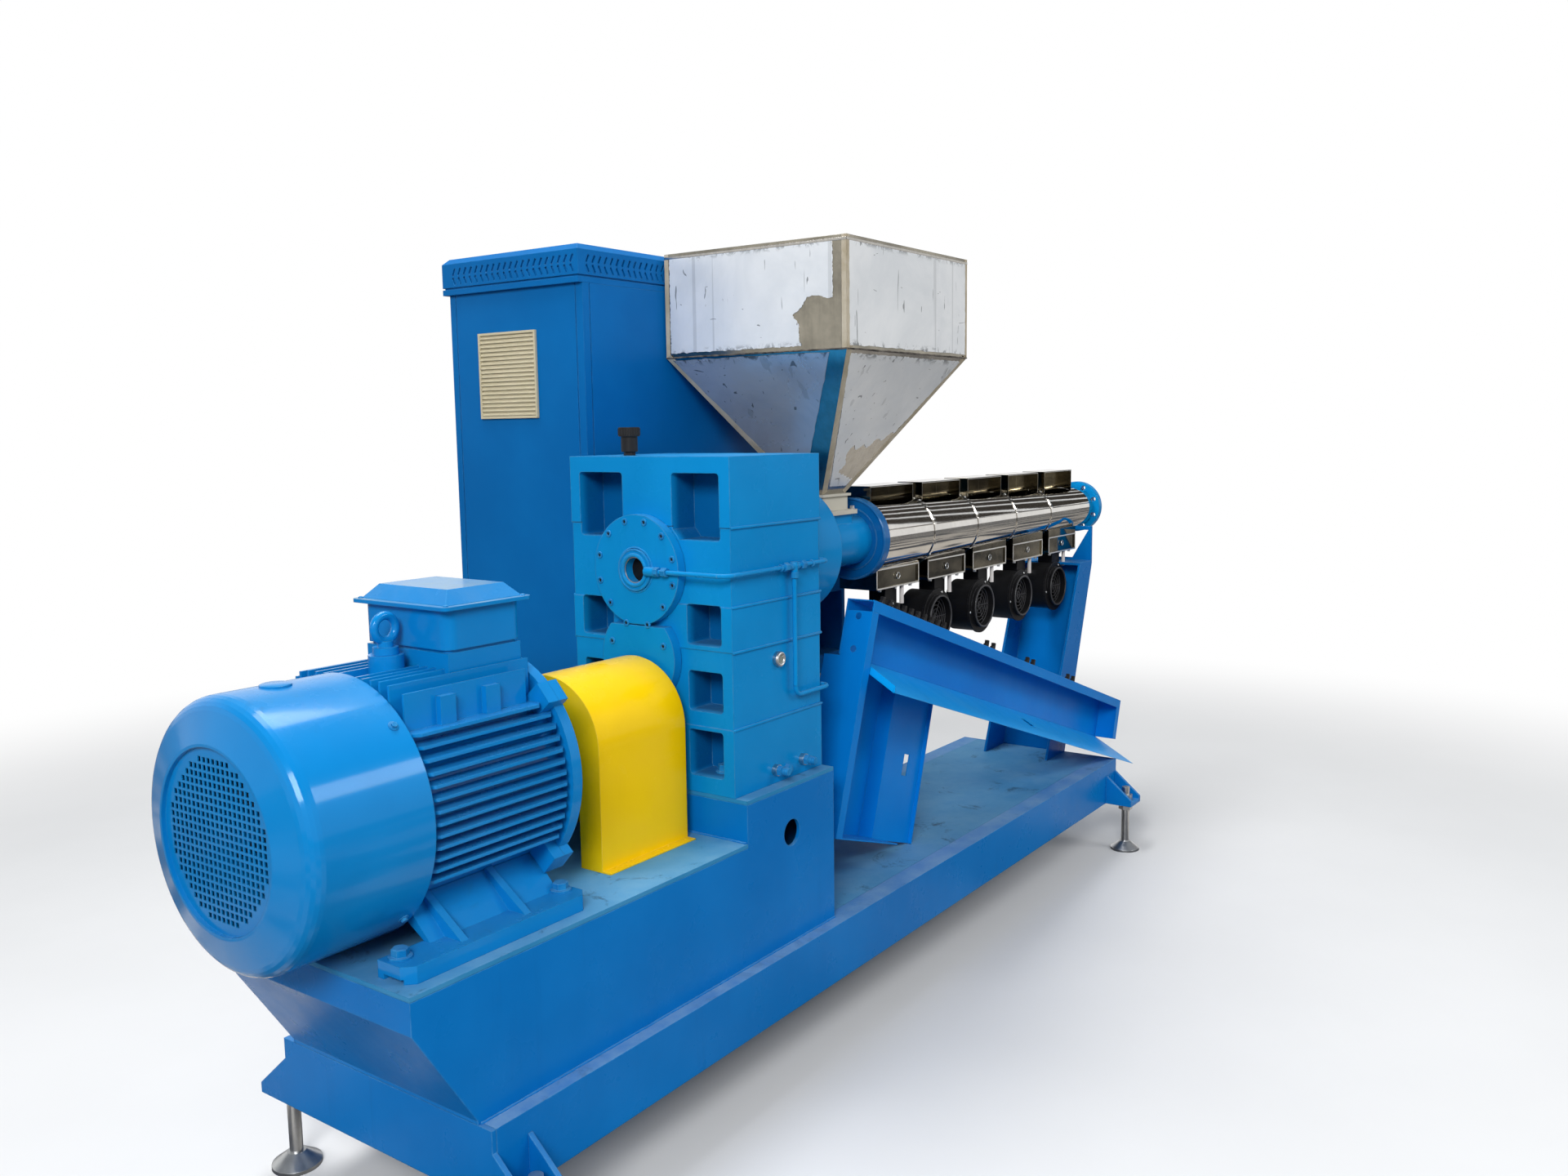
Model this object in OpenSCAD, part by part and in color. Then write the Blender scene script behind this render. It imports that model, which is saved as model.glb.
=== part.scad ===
// Conical twin-screw extruder with its drive, hopper, barrel cooling, wiring duct and control cabinet.
// X runs from the motor end to the outlet end, Y away from the operator and Z up.
// Places along the machine are measured from the motor end of the base and from the screw line.

/* [Base] */
// Length of the base frame
base_l = 3290; // [3200:10:3500]
// Width over the two rails
base_w = 680; // [660:2:720]
// How far the screw line lies behind the middle of the base
line_offset = 20; // [0:1:30]
// Underside of the rails above the floor
ground_gap = 188; // [150:1:240]
// Height of a rail
rail_h = 160; // [140:1:200]
// Width of a rail's flanges
rail_flange = 65; // [50:1:80]
// Thickness of the rails' steel
rail_t = 9; // [6:0.5:12]
// Thickness of the plates that close the ends
end_plate_t = 12; // [8:1:20]
// Number of cross members under the deck
cross_count = 4; // [3:1:6]
// Width of a cross member
cross_w = 60; // [40:1:90]

/* [Levelling feet] */
// How far a foot bracket reaches out from its rail
ear_reach = 103; // [95:1:130]
// Height of a foot bracket against its rail
ear_h = 112; // [90:1:130]
// Height of a foot bracket at its tip
ear_tip_h = 24; // [18:1:40]
// Distance between the two ribs of a foot bracket
ear_gap = 104; // [98:1:130]
// Thickness of a foot bracket's ribs and sole
ear_t = 12; // [8:1:16]
// Distance from the rail's face to a foot's screw
foot_reach = 62; // [58:1:66]
// Diameter of a foot's screw
foot_screw_d = 30; // [24:1:36]
// Diameter of a foot's pad
foot_pad_d = 112; // [90:1:130]
// Height of a foot's conical pad
foot_pad_h = 34; // [24:1:50]
// Width across the flats of a foot's nuts
foot_nut_w = 46; // [42:1:50]
// Height of a foot's nuts
foot_nut_h = 24; // [18:1:30]
// Play of a foot's screw in its bracket
foot_play = 1; // [0.5:0.1:1.6]

/* [Pedestals] */
// Height of the motor's pedestal above the base
motor_ped_h = 316; // [280:1:360]
// Height of the gearbox's pedestal above the base
gear_ped_h = 425; // [390:1:460]
// How far the motor's pedestal overhangs the base
ped_overhang = 144; // [100:1:160]
// Height of the overhanging edge
ped_lip_h = 76; // [50:1:120]
// Distance from the rails' outer faces to the pedestals' sides
ped_inset = 38; // [20:1:60]
// Thickness of the pedestals' plates
ped_t = 10; // [8:1:14]
// Place of the lifting hole along the gearbox's pedestal
lift_hole_x = 190; // [120:1:260]
// Diameter of the lifting hole
lift_hole_d = 70; // [50:1:84]

/* [Motor] */
// Height of the motor's shaft over its feet
shaft_h = 280; // [274:1:290]
// Place of the motor's front foot holes along the base
motor_hole_x = 331; // [320:1:340]
// Distance between the foot holes along the motor
foot_b = 419; // [400:1:430]
// Distance between the foot holes across the motor
foot_a = 457; // [450:1:470]
// Diameter of the foot holes
foot_hole_d = 24; // [20:1:26]
// Length of a foot
foot_l = 480; // [470:1:500]
// Width of a foot
foot_w = 88; // [80:1:100]
// Thickness of a foot
foot_t = 35; // [28:1:42]
// Radius of the stator frame without its fins
frame_r = 226; // [215:1:235]
// Radius over the fins
fin_r = 262; // [255:1:266]
// Length of the finned frame
frame_l = 370; // [360:1:380]
// Thickness of a fin
fin_t = 7; // [5:0.5:9]
// Distance between fins
fin_pitch = 24; // [22:0.5:26]
// Distance between the upright fins on top of the frame
top_fin_pitch = 27; // [24:0.5:30]
// Height of the upright fins above the shaft
top_fin_h = 262; // [256:1:270]
// Radius of the fan cowl
cowl_r = 268; // [266:1:276]
// Length of the fan cowl's side
cowl_l = 265; // [240:1:290]
// How far the cowl's face stands out from its rim
cowl_dome = 24; // [16:1:32]
// Thickness of the cowl's sheet
cowl_t = 3; // [2:0.5:4]
// How far the cowl laps over the motor's rear shield
cowl_lap = 30; // [20:1:40]
// Gap between the cowl and the shield under it
cowl_play = 0.3; // [0.2:0.1:0.5]
// Radius of the round grille in the cowl
grille_r = 178; // [160:1:190]
// Radius of the field of holes
grille_field_r = 157; // [140:1:164]
// Distance between the grille's holes
grille_pitch = 15; // [14.5:0.5:20]
// Width of a grille hole
grille_hole = 10; // [7:0.5:11]
// Radius of the fan
fan_r = 205; // [180:1:225]
// Radius of the fan's shaft
fan_shaft_r = 39; // [30:1:42]
// Number of fan blades
fan_blades = 9; // [6:1:12]
// Thickness of the drive-end shield's rim
shield_t = 60; // [50:1:70]
// Length of the shield's boss
shield_boss = 64; // [50:1:72]
// Diameter of the motor's shaft
motor_shaft_d = 80; // [70:1:90]
// Height of the terminal box's pad above the shaft
pad_h = 300; // [290:1:310]
// Height of the lifting eye's boss above the shaft
eye_h = 290; // [280:1:300]
// Length of the terminal box along the motor
box_l = 204; // [190:1:220]
// Width of the terminal box
box_w = 270; // [250:1:290]
// Height of the terminal box
box_h = 84; // [70:1:100]
// How far the terminal box's lid overhangs
lid_over = 17; // [10:1:24]
// Height of the terminal box's lid
lid_h = 38; // [28:1:50]

/* [Coupling] */
// Length of the guard
guard_l = 309; // [290:1:318]
// Radius of the guard
guard_r = 163; // [155:1:175]
// Thickness of the guard's sheet
guard_t = 3; // [2:0.5:4]
// Width of the guard's feet
guard_foot = 26; // [20:1:36]
// Width of the rim that closes the guard's end at the motor
guard_rim = 68; // [50:1:72]
// Diameter of the coupling's halves
coupling_d = 196; // [170:1:220]
// Length of one coupling half
coupling_half = 74; // [60:1:84]

/* [Gearbox] */
// Place of the gearbox along the base
gear_x = 880; // [872:1:890]
// Length of the gearbox
gear_l = 388; // [380:1:400]
// Width of the gearbox
gear_w = 533; // [500:1:560]
// How far the gearbox's middle lies in front of the screw line
gear_offset = 18; // [0:1:26]
// Height of the gearbox
gear_h = 846; // [830:1:860]
// Height of the screw line above the gearbox's sole
screw_h = 560; // [550:1:570]
// Depth of the pockets in the gearbox's faces
pocket_d = 90; // [50:1:110]
// Radius of the upper cover
upper_r = 141; // [136:1:146]
// Radius of the middle cover
middle_r = 122; // [116:1:128]
// Drop from the screw line to the middle cover
middle_drop = 225; // [220:1:235]
// Thickness of the covers
cover_t = 28; // [20:1:36]
// Radius of the hub in the upper cover
hub_r = 54; // [46:1:60]
// How far the hub stands out from the upper cover
hub_step = 5; // [3:1:8]
// Radius of the bore in the hub
hub_bore_r = 33; // [26:1:38]
// Radius of the oil pipe
pipe_r = 6; // [5:0.5:8]

/* [Feed section] */
// Length of the thrust housing
thrust_l = 251; // [230:1:270]
// Radius of the thrust housing
thrust_r = 194; // [180:1:205]
// Length of the feed section
feed_l = 348; // [330:1:370]
// Radius of the feed section
feed_r = 82; // [78:1:90]
// Place of the throat along the feed section
throat_x = 188; // [170:1:200]
// Length of the throat's opening
throat_l = 120; // [100:1:124]
// Width of the throat's opening
throat_w = 78; // [60:1:82]
// Wall of the throat
throat_t = 10; // [8:1:14]
// Height of the throat's top above the screw line
throat_h = 152; // [146:1:160]

/* [Hopper] */
// Length of the hopper's box
hopper_l = 690; // [640:1:740]
// Width of the hopper's box
hopper_w = 630; // [600:1:634]
// Height of the hopper's box
hopper_h = 298; // [260:1:340]
// Height of the hopper's cone
cone_h = 410; // [380:1:440]
// Thickness of the hopper's sheet
hopper_t = 3; // [2:0.5:4]

/* [Barrel] */
// Length of the barrel with its cover
barrel_l = 1810; // [1780:1:1850]
// Radius of the flange between feed section and barrel
feed_flange_r = 132; // [128:1:140]
// Thickness of the barrel's flanges
flange_t = 29; // [24:1:36]
// Radius of the cover at the feed end
cover_r0 = 125; // [118:1:128]
// Radius of the cover at the outlet end
cover_r1 = 86; // [82:1:90]
// Thickness of the cover's sheet
sheet_t = 2; // [1.5:0.5:3]
// Radius of the barrel at the feed end
barrel_r0 = 84; // [80:1:88]
// Radius of the barrel at the outlet end
barrel_r1 = 62; // [60:1:64]
// Radius of the outlet flange
head_r = 108; // [100:1:116]
// Radius of the outlet
outlet_r = 42; // [36:1:46]
// Pitch circle of the outlet flange's bolts
head_pcd = 176; // [170:1:184]
// Number of bolt holes in the outlet flange
head_holes = 8; // [6:1:8]
// Diameter of the bolt holes in the outlet flange
head_hole_d = 18; // [14:1:20]
// Distance from the barrel's flange to the first heating zone's middle
zone_x0 = 155; // [150:1:165]
// Distance between heating zones
zone_pitch = 337; // [330:1:339]
// Number of heating zones
zones = 5; // [4:1:5]
// Width of the bands round the cover
band_w = 14; // [10:1:20]

/* [Barrel cooling] */
// Length of an air duct
duct_l = 275; // [240:1:285]
// Width of the upper air ducts
duct_w = 96; // [80:1:110]
// Height of the upper ducts' top above the screw line
duct_top = 166; // [160:1:180]
// Width of the lower air ducts
tray_w = 140; // [120:1:150]
// Height of the lower air ducts
tray_h = 68; // [56:1:72]
// Drop from the screw line to the lower ducts' underside
tray_drop = 168; // [164:1:176]
// Depth of the shallow recess in a lower duct's face
tray_recess = 5; // [3:1:8]
// Radius of a blower
blower_r = 100; // [94:1:102]
// Depth of a blower
blower_l = 104; // [90:1:130]
// Drop from the screw line to the blowers' middle
blower_drop = 306; // [302:1:312]
// Distance from the screw line to the blowers' front
blower_front = 68; // [60:1:76]
// Radius of a blower's inlet
inlet_r = 72; // [64:1:78]
// Width of the neck between a blower and its duct
neck_w = 74; // [60:1:80]

/* [Barrel support] */
// Length of the support's foot
stand_foot = 180; // [160:1:190]
// Width of the support
stand_w = 280; // [250:1:300]
// How far the support leans out over the base's end
stand_lean = 262; // [258:1:275]
// Length of the support's top
stand_head = 128; // [120:1:134]
// Drop from the screw line to the support's top
stand_drop = 216; // [212:1:224]
// Height of the cradle's plate on the support
cradle_h = 145; // [138:1:150]
// Half width of the cradle's window at its top
cradle_top = 126; // [118:1:130]
// Half width of the cradle's window at its foot
cradle_foot = 56; // [48:1:70]

/* [Wiring duct] */
// Tilt of the duct frame on the deck
frame_tilt = 18.4; // [17:0.1:19]
// Length of the duct frame's beam
beam_l = 2106; // [2060:1:2140]
// Height of the beam
beam_h = 165; // [150:1:180]
// Depth of the duct
duct_depth = 93; // [80:1:100]
// Length of the duct frame's post
post_l = 689; // [660:1:720]
// Width of the post
post_w = 592; // [580:1:610]
// Thickness of the duct's sheet
duct_t = 4; // [3:0.5:5]
// Width of the duct's turned edge
duct_edge = 34; // [24:1:44]
// How far the beam's sloping skirt stands out
skirt_out = 178; // [150:1:180]
// Width of the deeper tray in the post
tray_l = 360; // [300:1:420]
// Depth of that tray behind the post's web
tray_back = 50; // [30:1:70]
// Distance from the near rail's face to the duct frame's back
frame_inset = 183; // [178:1:186]
// Place of the post's foot along the base
frame_foot_x = 1919; // [1900:1:1930]

/* [Control cabinet] */
// Place of the cabinet along the base
cab_x = 1022; // [980:5:1060]
// Length of the cabinet
cab_l = 1310; // [1260:5:1340]
// Depth of the cabinet
cab_w = 541; // [500:1:560]
// Height of the cabinet with its cap
cab_h = 2192; // [2150:1:2240]
// Height of the cabinet's cap
cap_h = 105; // [90:1:120]
// How far the cap overhangs
cap_over = 14; // [8:1:20]
// Height of the cabinet's plinth
plinth_h = 100; // [80:1:120]
// Distance between the vent slots in the cap
slot_pitch = 24; // [20:1:32]
// Width of the large air filter
filter_w = 246; // [220:1:260]
// Number of slats in the large air filter
slats = 19; // [15:1:20]
// Width of the cable opening
entry_l = 260; // [200:1:300]
// Height of the cable opening
entry_h = 220; // [180:1:260]
// Height of the cable opening's lower edge above the floor
entry_z = 880; // [800:1:960]
// Gap between the hopper and the cabinet's front
hopper_gap = 5; // [4:1:40]
// Distance from the cabinet's front to the large air filter
filter_y = 183; // [160:1:210]
// Drop from the cabinet's top to the large air filter's foot
filter_drop = 468; // [440:1:500]
// How far the air filters stand out
filter_t = 8; // [6:1:14]
// Width of a small air filter
vent_w = 150; // [120:1:180]
// Height of a small air filter
vent_h = 116; // [100:1:130]
// Height of the lower small air filter above the floor
vent_z = 560; // [500:1:600]
// Distance between the two small air filters
vent_pitch = 140; // [136:1:160]

/* [Hidden] */
$fn = 64;

// Gap between round faces that sit on one another
fit = 0.3;
// Rim and hole of a lower duct's face
tray_rim = 5;
tray_hole_r = 9;
// A blower's inlet collar, the depth of its inlet and the hub in it
inlet_step = 14;
inlet_depth = 46;
inlet_hub_r = 44;
// Width of an air filter's frame
filter_edge = 7;
// Drop from the screw line to the foot of the oil pipe's branch
pipe_drop = 340;

// Levels and lines worked out from the sizes above
near_y = -base_w/2 - line_offset;
far_y = base_w/2 - line_offset;
base_top = ground_gap + rail_h;
motor_top = base_top + motor_ped_h;
gear_top = base_top + gear_ped_h;
shaft_z = motor_top + shaft_h;
screw_z = gear_top + screw_h;
gear_end = gear_x + gear_l;
frame_x = motor_hole_x - foot_b + 66;
frame_end = frame_x + frame_l;
cowl_x = frame_x - cowl_l;
guard_x = gear_x - 41 - guard_l;
feed_x = gear_end + thrust_l;
flange_x = feed_x + feed_l;
barrel_x = flange_x + flange_t;
barrel_end = barrel_x + barrel_l;
throat_mid = feed_x + throat_x;
cone_z = screw_z + throat_h;
hopper_z = cone_z + cone_h;
foot_x = [ear_gap/2, base_l - ear_gap/2];
cab_y = max(far_y, hopper_w/2 + hopper_gap);
cab_far = cab_y + cab_w + cap_over;
foot_far = far_y + foot_reach + foot_pad_d/2;
foot_near = near_y - foot_reach - foot_pad_d/2;
x_low = cowl_x - cowl_dome;
x_high = barrel_end + flange_t;
y_low = min(foot_near, near_y - ear_reach);
y_high = max(cab_far, foot_far);

// Everything is drawn from the motor end of the base, then moved so that its box stands on the origin.
module place() translate([-(x_low + x_high)/2, -(y_low + y_high)/2, 0]) children();

// A round bar along X, from x, with the given radius and length.
module along_x(x, y, z, r, l, fn = 64) translate([x, y, z]) rotate([0, 90, 0]) cylinder(r = r, h = l, $fn = fn);

// A round bar along Y, from y, with the given radius and length.
module along_y(x, y, z, r, l, fn = 64) translate([x, y, z]) rotate([-90, 0, 0]) cylinder(r = r, h = l, $fn = fn);

// A plate that lies in the X-Z plane, drawn from [x, z] points, from y with the given thickness.
module plate_xz(points, y, t) translate([0, y + t, 0]) rotate([90, 0, 0]) linear_extrude(t) polygon(points);

// A plate that lies in the Y-Z plane, drawn from [y, z] points, from x with the given thickness.
module plate_yz(points, x, t) translate([x, 0, 0]) rotate([90, 0, 90]) linear_extrude(t) polygon(points);

// A box from its lowest corner and its size.
module block(corner, size) translate(corner) cube(size);

// A rectangle about the origin with rounded corners.
module rounded(l, w, r) {
  square([l - 2*r, w], center = true);
  square([l, w - 2*r], center = true);
  for (x = [r - l/2, l/2 - r], y = [r - w/2, w/2 - r]) translate([x, y]) circle(r = r, $fn = 48);
}

// A body turned about the X axis at height z, from [x, radius] points.
module turned_x(z, points, y = 0, fn = 96)
  translate([0, y, z]) rotate([0, 90, 0]) rotate_extrude($fn = fn) polygon([for (p = points) [p[1], p[0]]]);

// Base rails: channels with their backs outwards.
module base_rail(y, side) {
  channel = [[0, 0], [rail_flange, 0], [rail_flange, rail_t], [rail_t, rail_t],
             [rail_t, rail_h - rail_t], [rail_flange, rail_h - rail_t], [rail_flange, rail_h], [0, rail_h]];
  plate_yz([for (p = channel) [y + side*p[0], ground_gap + p[1]]], end_plate_t, base_l - 2*end_plate_t);
}
module base_rail_near() color("dodgerblue") place() base_rail(near_y, 1);
module base_rail_far() color("dodgerblue") place() base_rail(far_y, -1);

// Cross members lie between the rails and carry the deck.
module base_cross_members() color("royalblue") place()
  for (i = [1:cross_count])
    block([i*base_l/(cross_count + 1) - cross_w/2, near_y + rail_t, ground_gap + rail_t],
          [cross_w, base_w - 2*rail_t, rail_h - 2*rail_t]);

// The deck plate lies on the cross members, flush with the rails' flanges.
module base_deck() color("dodgerblue") place()
  block([end_plate_t, near_y + rail_flange, base_top - rail_t],
        [base_l - 2*end_plate_t, base_w - 2*rail_flange, rail_t]);

// An end of the base: the end plate with its two ears, and at each ear a second rib and a sole
// with the hole for the foot's screw.
module base_end(x, dir) difference() {
  ear = [[0, 0], [ear_reach, 0], [ear_reach, ear_tip_h], [0, ear_h]];
  left = min(x, x + dir*end_plate_t);
  union() {
    block([left, near_y, ground_gap], [end_plate_t, base_w, rail_h]);
    for (side = [[near_y, -1], [far_y, 1]]) {
      rib = [for (p = ear) [side[0] + side[1]*p[0], ground_gap + p[1]]];
      plate_yz(rib, left, end_plate_t);
      plate_yz(rib, min(x + dir*ear_gap, x + dir*(ear_gap - ear_t)), ear_t);
      block([min(x, x + dir*ear_gap), min(side[0], side[0] + side[1]*ear_reach), ground_gap],
            [ear_gap, ear_reach, ear_t]);
    }
  }
  for (y = [near_y - foot_reach, far_y + foot_reach])
    translate([x + dir*ear_gap/2, y, ground_gap - 1]) cylinder(d = foot_screw_d + foot_play, h = ear_t + 2);
}
module base_motor_end() color("dodgerblue") place() base_end(0, 1);
module base_outlet_end() color("dodgerblue") place() base_end(base_l, -1);

// A levelling foot: a conical pad, a screw through the bracket and a nut on either side of it.
module levelling_foot(x, y) translate([x, y, 0]) {
  rotate_extrude($fn = 48)
    polygon([[0, 0], [foot_pad_d/2, 0], [foot_pad_d/2, foot_pad_h/4], [foot_screw_d/2 + 6, foot_pad_h], [0, foot_pad_h]]);
  translate([0, 0, foot_pad_h]) cylinder(d = foot_screw_d, h = ground_gap + ear_t + foot_nut_h + 30 - foot_pad_h, $fn = 32);
  for (z = [ground_gap - foot_nut_h, ground_gap + ear_t])
    translate([0, 0, z]) cylinder(d = foot_nut_w/cos(30), h = foot_nut_h, $fn = 6);
}
module levelling_feet() color("silver") place()
  for (x = foot_x, y = [near_y - foot_reach, far_y + foot_reach]) levelling_foot(x, y);

// The pedestals' side plates are one stepped sheet each, closed by end plates.
ped_near = near_y + ped_inset;
ped_far = far_y - ped_inset;
ped_w = ped_far - ped_near;
module pedestal_frame() color("dodgerblue") place() difference() {
  side = [[0, base_top], [gear_end, base_top], [gear_end, gear_top - ped_t], [gear_x, gear_top - ped_t],
          [gear_x, motor_top - ped_t], [-ped_overhang, motor_top - ped_t],
          [-ped_overhang, motor_top - ped_lip_h], [0, base_top + 8]];
  union() {
    plate_xz(side, ped_near, ped_t);
    plate_xz(side, ped_far - ped_t, ped_t);
    block([gear_end - ped_t, ped_near, base_top], [ped_t, ped_w, gear_top - ped_t - base_top]);
    block([gear_x, ped_near, base_top], [ped_t, ped_w, gear_top - ped_t - base_top]);
    plate_xz([[-ped_overhang, motor_top - ped_t], [-ped_overhang, motor_top - ped_lip_h], [0, base_top + 8],
              [0, base_top], [ped_t, base_top], [ped_t, base_top + 12],
              [ped_t - ped_overhang, motor_top - ped_lip_h + 4], [ped_t - ped_overhang, motor_top - ped_t]],
             ped_near, ped_w);
  }
  along_y(gear_x + lift_hole_x, ped_near - 1, gear_top - 130, lift_hole_d/2, ped_w + 2);
}
module pedestal_decks() color("dodgerblue") place() {
  block([-ped_overhang, ped_near, motor_top - ped_t], [gear_x + ped_overhang, ped_w, ped_t]);
  block([gear_x, ped_near, gear_top - ped_t], [gear_l, ped_w, ped_t]);
}

// Motor feet: two cast soles with ribs up to the frame.
foot_y = foot_a/2 + 30;
foot_in = foot_y - foot_w + 28;
foot_out = foot_y + 28;
foot_cut = 22;
foot_mid = motor_hole_x - foot_b/2;
module motor_feet() color("dodgerblue") place() for (s = [-1, 1]) difference() {
  union() {
    translate([foot_mid, 0, motor_top]) linear_extrude(foot_t)
      polygon([for (p = [[-foot_l/2, foot_in], [foot_l/2, foot_in], [foot_l/2, foot_out - foot_cut],
                         [foot_l/2 - foot_cut, foot_out], [foot_cut - foot_l/2, foot_out],
                         [-foot_l/2, foot_out - foot_cut]]) [p[0], s*p[1]]]);
    plate_yz([for (p = [[foot_in + 4, foot_t - 1], [foot_in + 22, foot_t - 1], [frame_r*0.62, shaft_h - frame_r*0.75],
                        [frame_r*0.50, shaft_h - frame_r*0.84]]) [s*p[0], motor_top + p[1]]],
             frame_x + 10, foot_mid + foot_l/2 - frame_x - 40);
    for (x = [foot_mid - 96, foot_mid + 70])
      plate_yz([for (p = [[foot_y + 10, foot_t], [foot_y - foot_w + 28, foot_t], [frame_r*0.40, shaft_h - frame_r*0.86],
                          [frame_r*0.66, shaft_h - frame_r*0.73]]) [s*p[0], motor_top + p[1]]], x, 18);
  }
  for (x = [motor_hole_x - foot_b, motor_hole_x])
    translate([x, s*foot_a/2, motor_top - 1]) cylinder(d = foot_hole_d, h = foot_t + 2, $fn = 32);
  along_x(frame_x - 1, 0, shaft_z, frame_r + fit, frame_l + 2, 96);
  for (x = [foot_mid - foot_l/2, foot_mid + foot_l/2])
    block([x - 16, min(s*foot_in, s*foot_out) + 18, motor_top - 1], [32, foot_w - 36, 11]);
}

// Stator frame: a barrel with level fins on both sides, each side topped by a shelf with an upright
// wall and two lugs on it, upright fins on top, a pad for the terminal box and a boss for the lifting eye.
eye_x = frame_x + 108;
eye_z = shaft_z + eye_h;
fan_shaft_in = 50;
fins_low = -5;
fins_high = 6;
fin_drop = 3;
fin_cut = 18;
shelf_z = (fins_high + 1)*fin_pitch - fin_drop;
shelf_reach = 214;
wall_y = 172;
wall_t = 6;
lug_d = 18;
lug_w = 52;
pad_inset = 4;
box_mid = frame_end - box_l/2 - 10;
pad_z = shaft_z + pad_h;
top_x = frame_x + 2;
// A level fin across the frame, its four corners cut off.
module fin(x, z, reach, l) translate([x, 0, shaft_z + z - fin_t/2]) linear_extrude(fin_t)
  polygon([[0, fin_cut - reach], [fin_cut, -reach], [l - fin_cut, -reach], [l, fin_cut - reach],
           [l, reach - fin_cut], [l - fin_cut, reach], [fin_cut, reach], [0, reach - fin_cut]]);
// Lugs for the screws that join the frame and its shield, from x with the given thickness.
module shield_lugs(x, t)
  for (a = [42, 138, 222, 318]) translate([x, 0, shaft_z]) rotate([a, 0, 0])
    block([0, frame_r - 20, -lug_w/2], [t, fin_r - frame_r + 42, lug_w]);
module frame_side(s) {
  block([top_x + 10, s*wall_y - wall_t/2, shaft_z + 120], [frame_l - 56, wall_t, top_fin_h - 140]);
  for (x = [88, 204])
    block([frame_x + x, s > 0 ? wall_y : -wall_y - lug_d, shaft_z + shelf_z], [38, lug_d, top_fin_h - shelf_z - 36]);
  for (k = [1:4]) {
    y = s*(7 + k*top_fin_pitch);
    block([top_x, y - wall_t/2, shaft_z + 150], [box_mid - top_x, wall_t, top_fin_h - 150]);
  }
  block([top_x, s*(7 + 5*top_fin_pitch) - wall_t/2, shaft_z + 150], [frame_l - 10, wall_t, top_fin_h - 155]);
}
module motor_frame() color("dodgerblue") place() difference() {
  union() {
    along_x(frame_x, 0, shaft_z, frame_r, frame_l, 96);
    along_x(frame_x - cowl_lap, 0, shaft_z, cowl_r - cowl_t - cowl_play, cowl_lap, 96);
    for (i = [fins_low:fins_high]) {
      z = i*fin_pitch - fin_drop;
      fin(frame_x, z, sqrt(fin_r*fin_r - z*z), frame_l);
    }
    fin(top_x, shelf_z, shelf_reach, frame_l - 28);
    for (s = [-1, 1]) frame_side(s);
    shield_lugs(frame_end - 30, 30);
    block([box_mid - box_l/2 + pad_inset, pad_inset - box_w/2, shaft_z],
          [box_l - 2*pad_inset, box_w - 2*pad_inset, pad_h - 6]);
    translate([box_mid, 0, pad_z - 7]) linear_extrude(7) rounded(box_l - 4*pad_inset, box_w - 4*pad_inset, 16);
    translate([eye_x, 0, shaft_z + frame_r - 20]) cylinder(r = 36, h = eye_h - frame_r + 20, $fn = 48);
  }
  along_x(frame_x - cowl_lap - 1, 0, shaft_z, fan_shaft_r + fit, cowl_lap + 1 + fan_shaft_in);
}

// Drive-end shield with its boss and four lugs.
module motor_end_shield() color("dodgerblue") place() {
  shield_lugs(frame_end, 26);
  turned_x(shaft_z, [[frame_end, 0], [frame_end, fin_r], [frame_end + shield_t*0.45, fin_r],
                     [frame_end + shield_t, fin_r - 34], [frame_end + shield_t, 130],
                     [frame_end + shield_t + shield_boss, 96], [frame_end + shield_t + shield_boss, 0]]);
}

// Fan cowl: a pressed sheet cup with a rounded shoulder and a recessed, square-holed grille.
cowl_bend = 34;
// A point of the shoulder at angle a, on the outer or the inner skin.
function shoulder(a, r) = [cowl_x + cowl_bend - 8 - r*sin(a), cowl_r - cowl_bend + r*cos(a)];
module motor_fan_cowl() color("dodgerblue") place() difference() {
  face = cowl_x - cowl_dome;
  back = face + 9 + cowl_t;
  turned_x(shaft_z, concat([[frame_x, cowl_r - cowl_t], [frame_x, cowl_r]],
                           [for (a = [0:15:75]) shoulder(a, cowl_bend)],
                           [[face, grille_r + 6], [face, grille_r], [face + 9, grille_r], [face + 9, 0],
                            [back, 0], [back, grille_r + cowl_t + 2], [face + cowl_t, grille_r + 6]],
                           [for (a = [75:-15:0]) shoulder(a, cowl_bend - cowl_t)]));
  n = floor(grille_field_r/grille_pitch);
  for (i = [-n:n], j = [-n:n])
    if (norm([i, j])*grille_pitch < grille_field_r)
      block([cowl_x - cowl_dome, i*grille_pitch - grille_hole/2, shaft_z + j*grille_pitch - grille_hole/2],
            [20, grille_hole, grille_hole]);
}

// Fan on the motor's rear shaft.
module motor_fan() color("dimgray") place() {
  fan_back = frame_x - 60;
  along_x(fan_back - 100, 0, shaft_z, fan_shaft_r, frame_x - fan_back + 100 + fan_shaft_in);
  along_x(fan_back - 12, 0, shaft_z, fan_r - 10, 8);
  for (i = [0:fan_blades - 1]) translate([fan_back - 92, 0, shaft_z]) rotate([i*360/fan_blades, 0, 0])
    block([0, -3, 36], [82, 6, fan_r - 36]);
}

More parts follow.
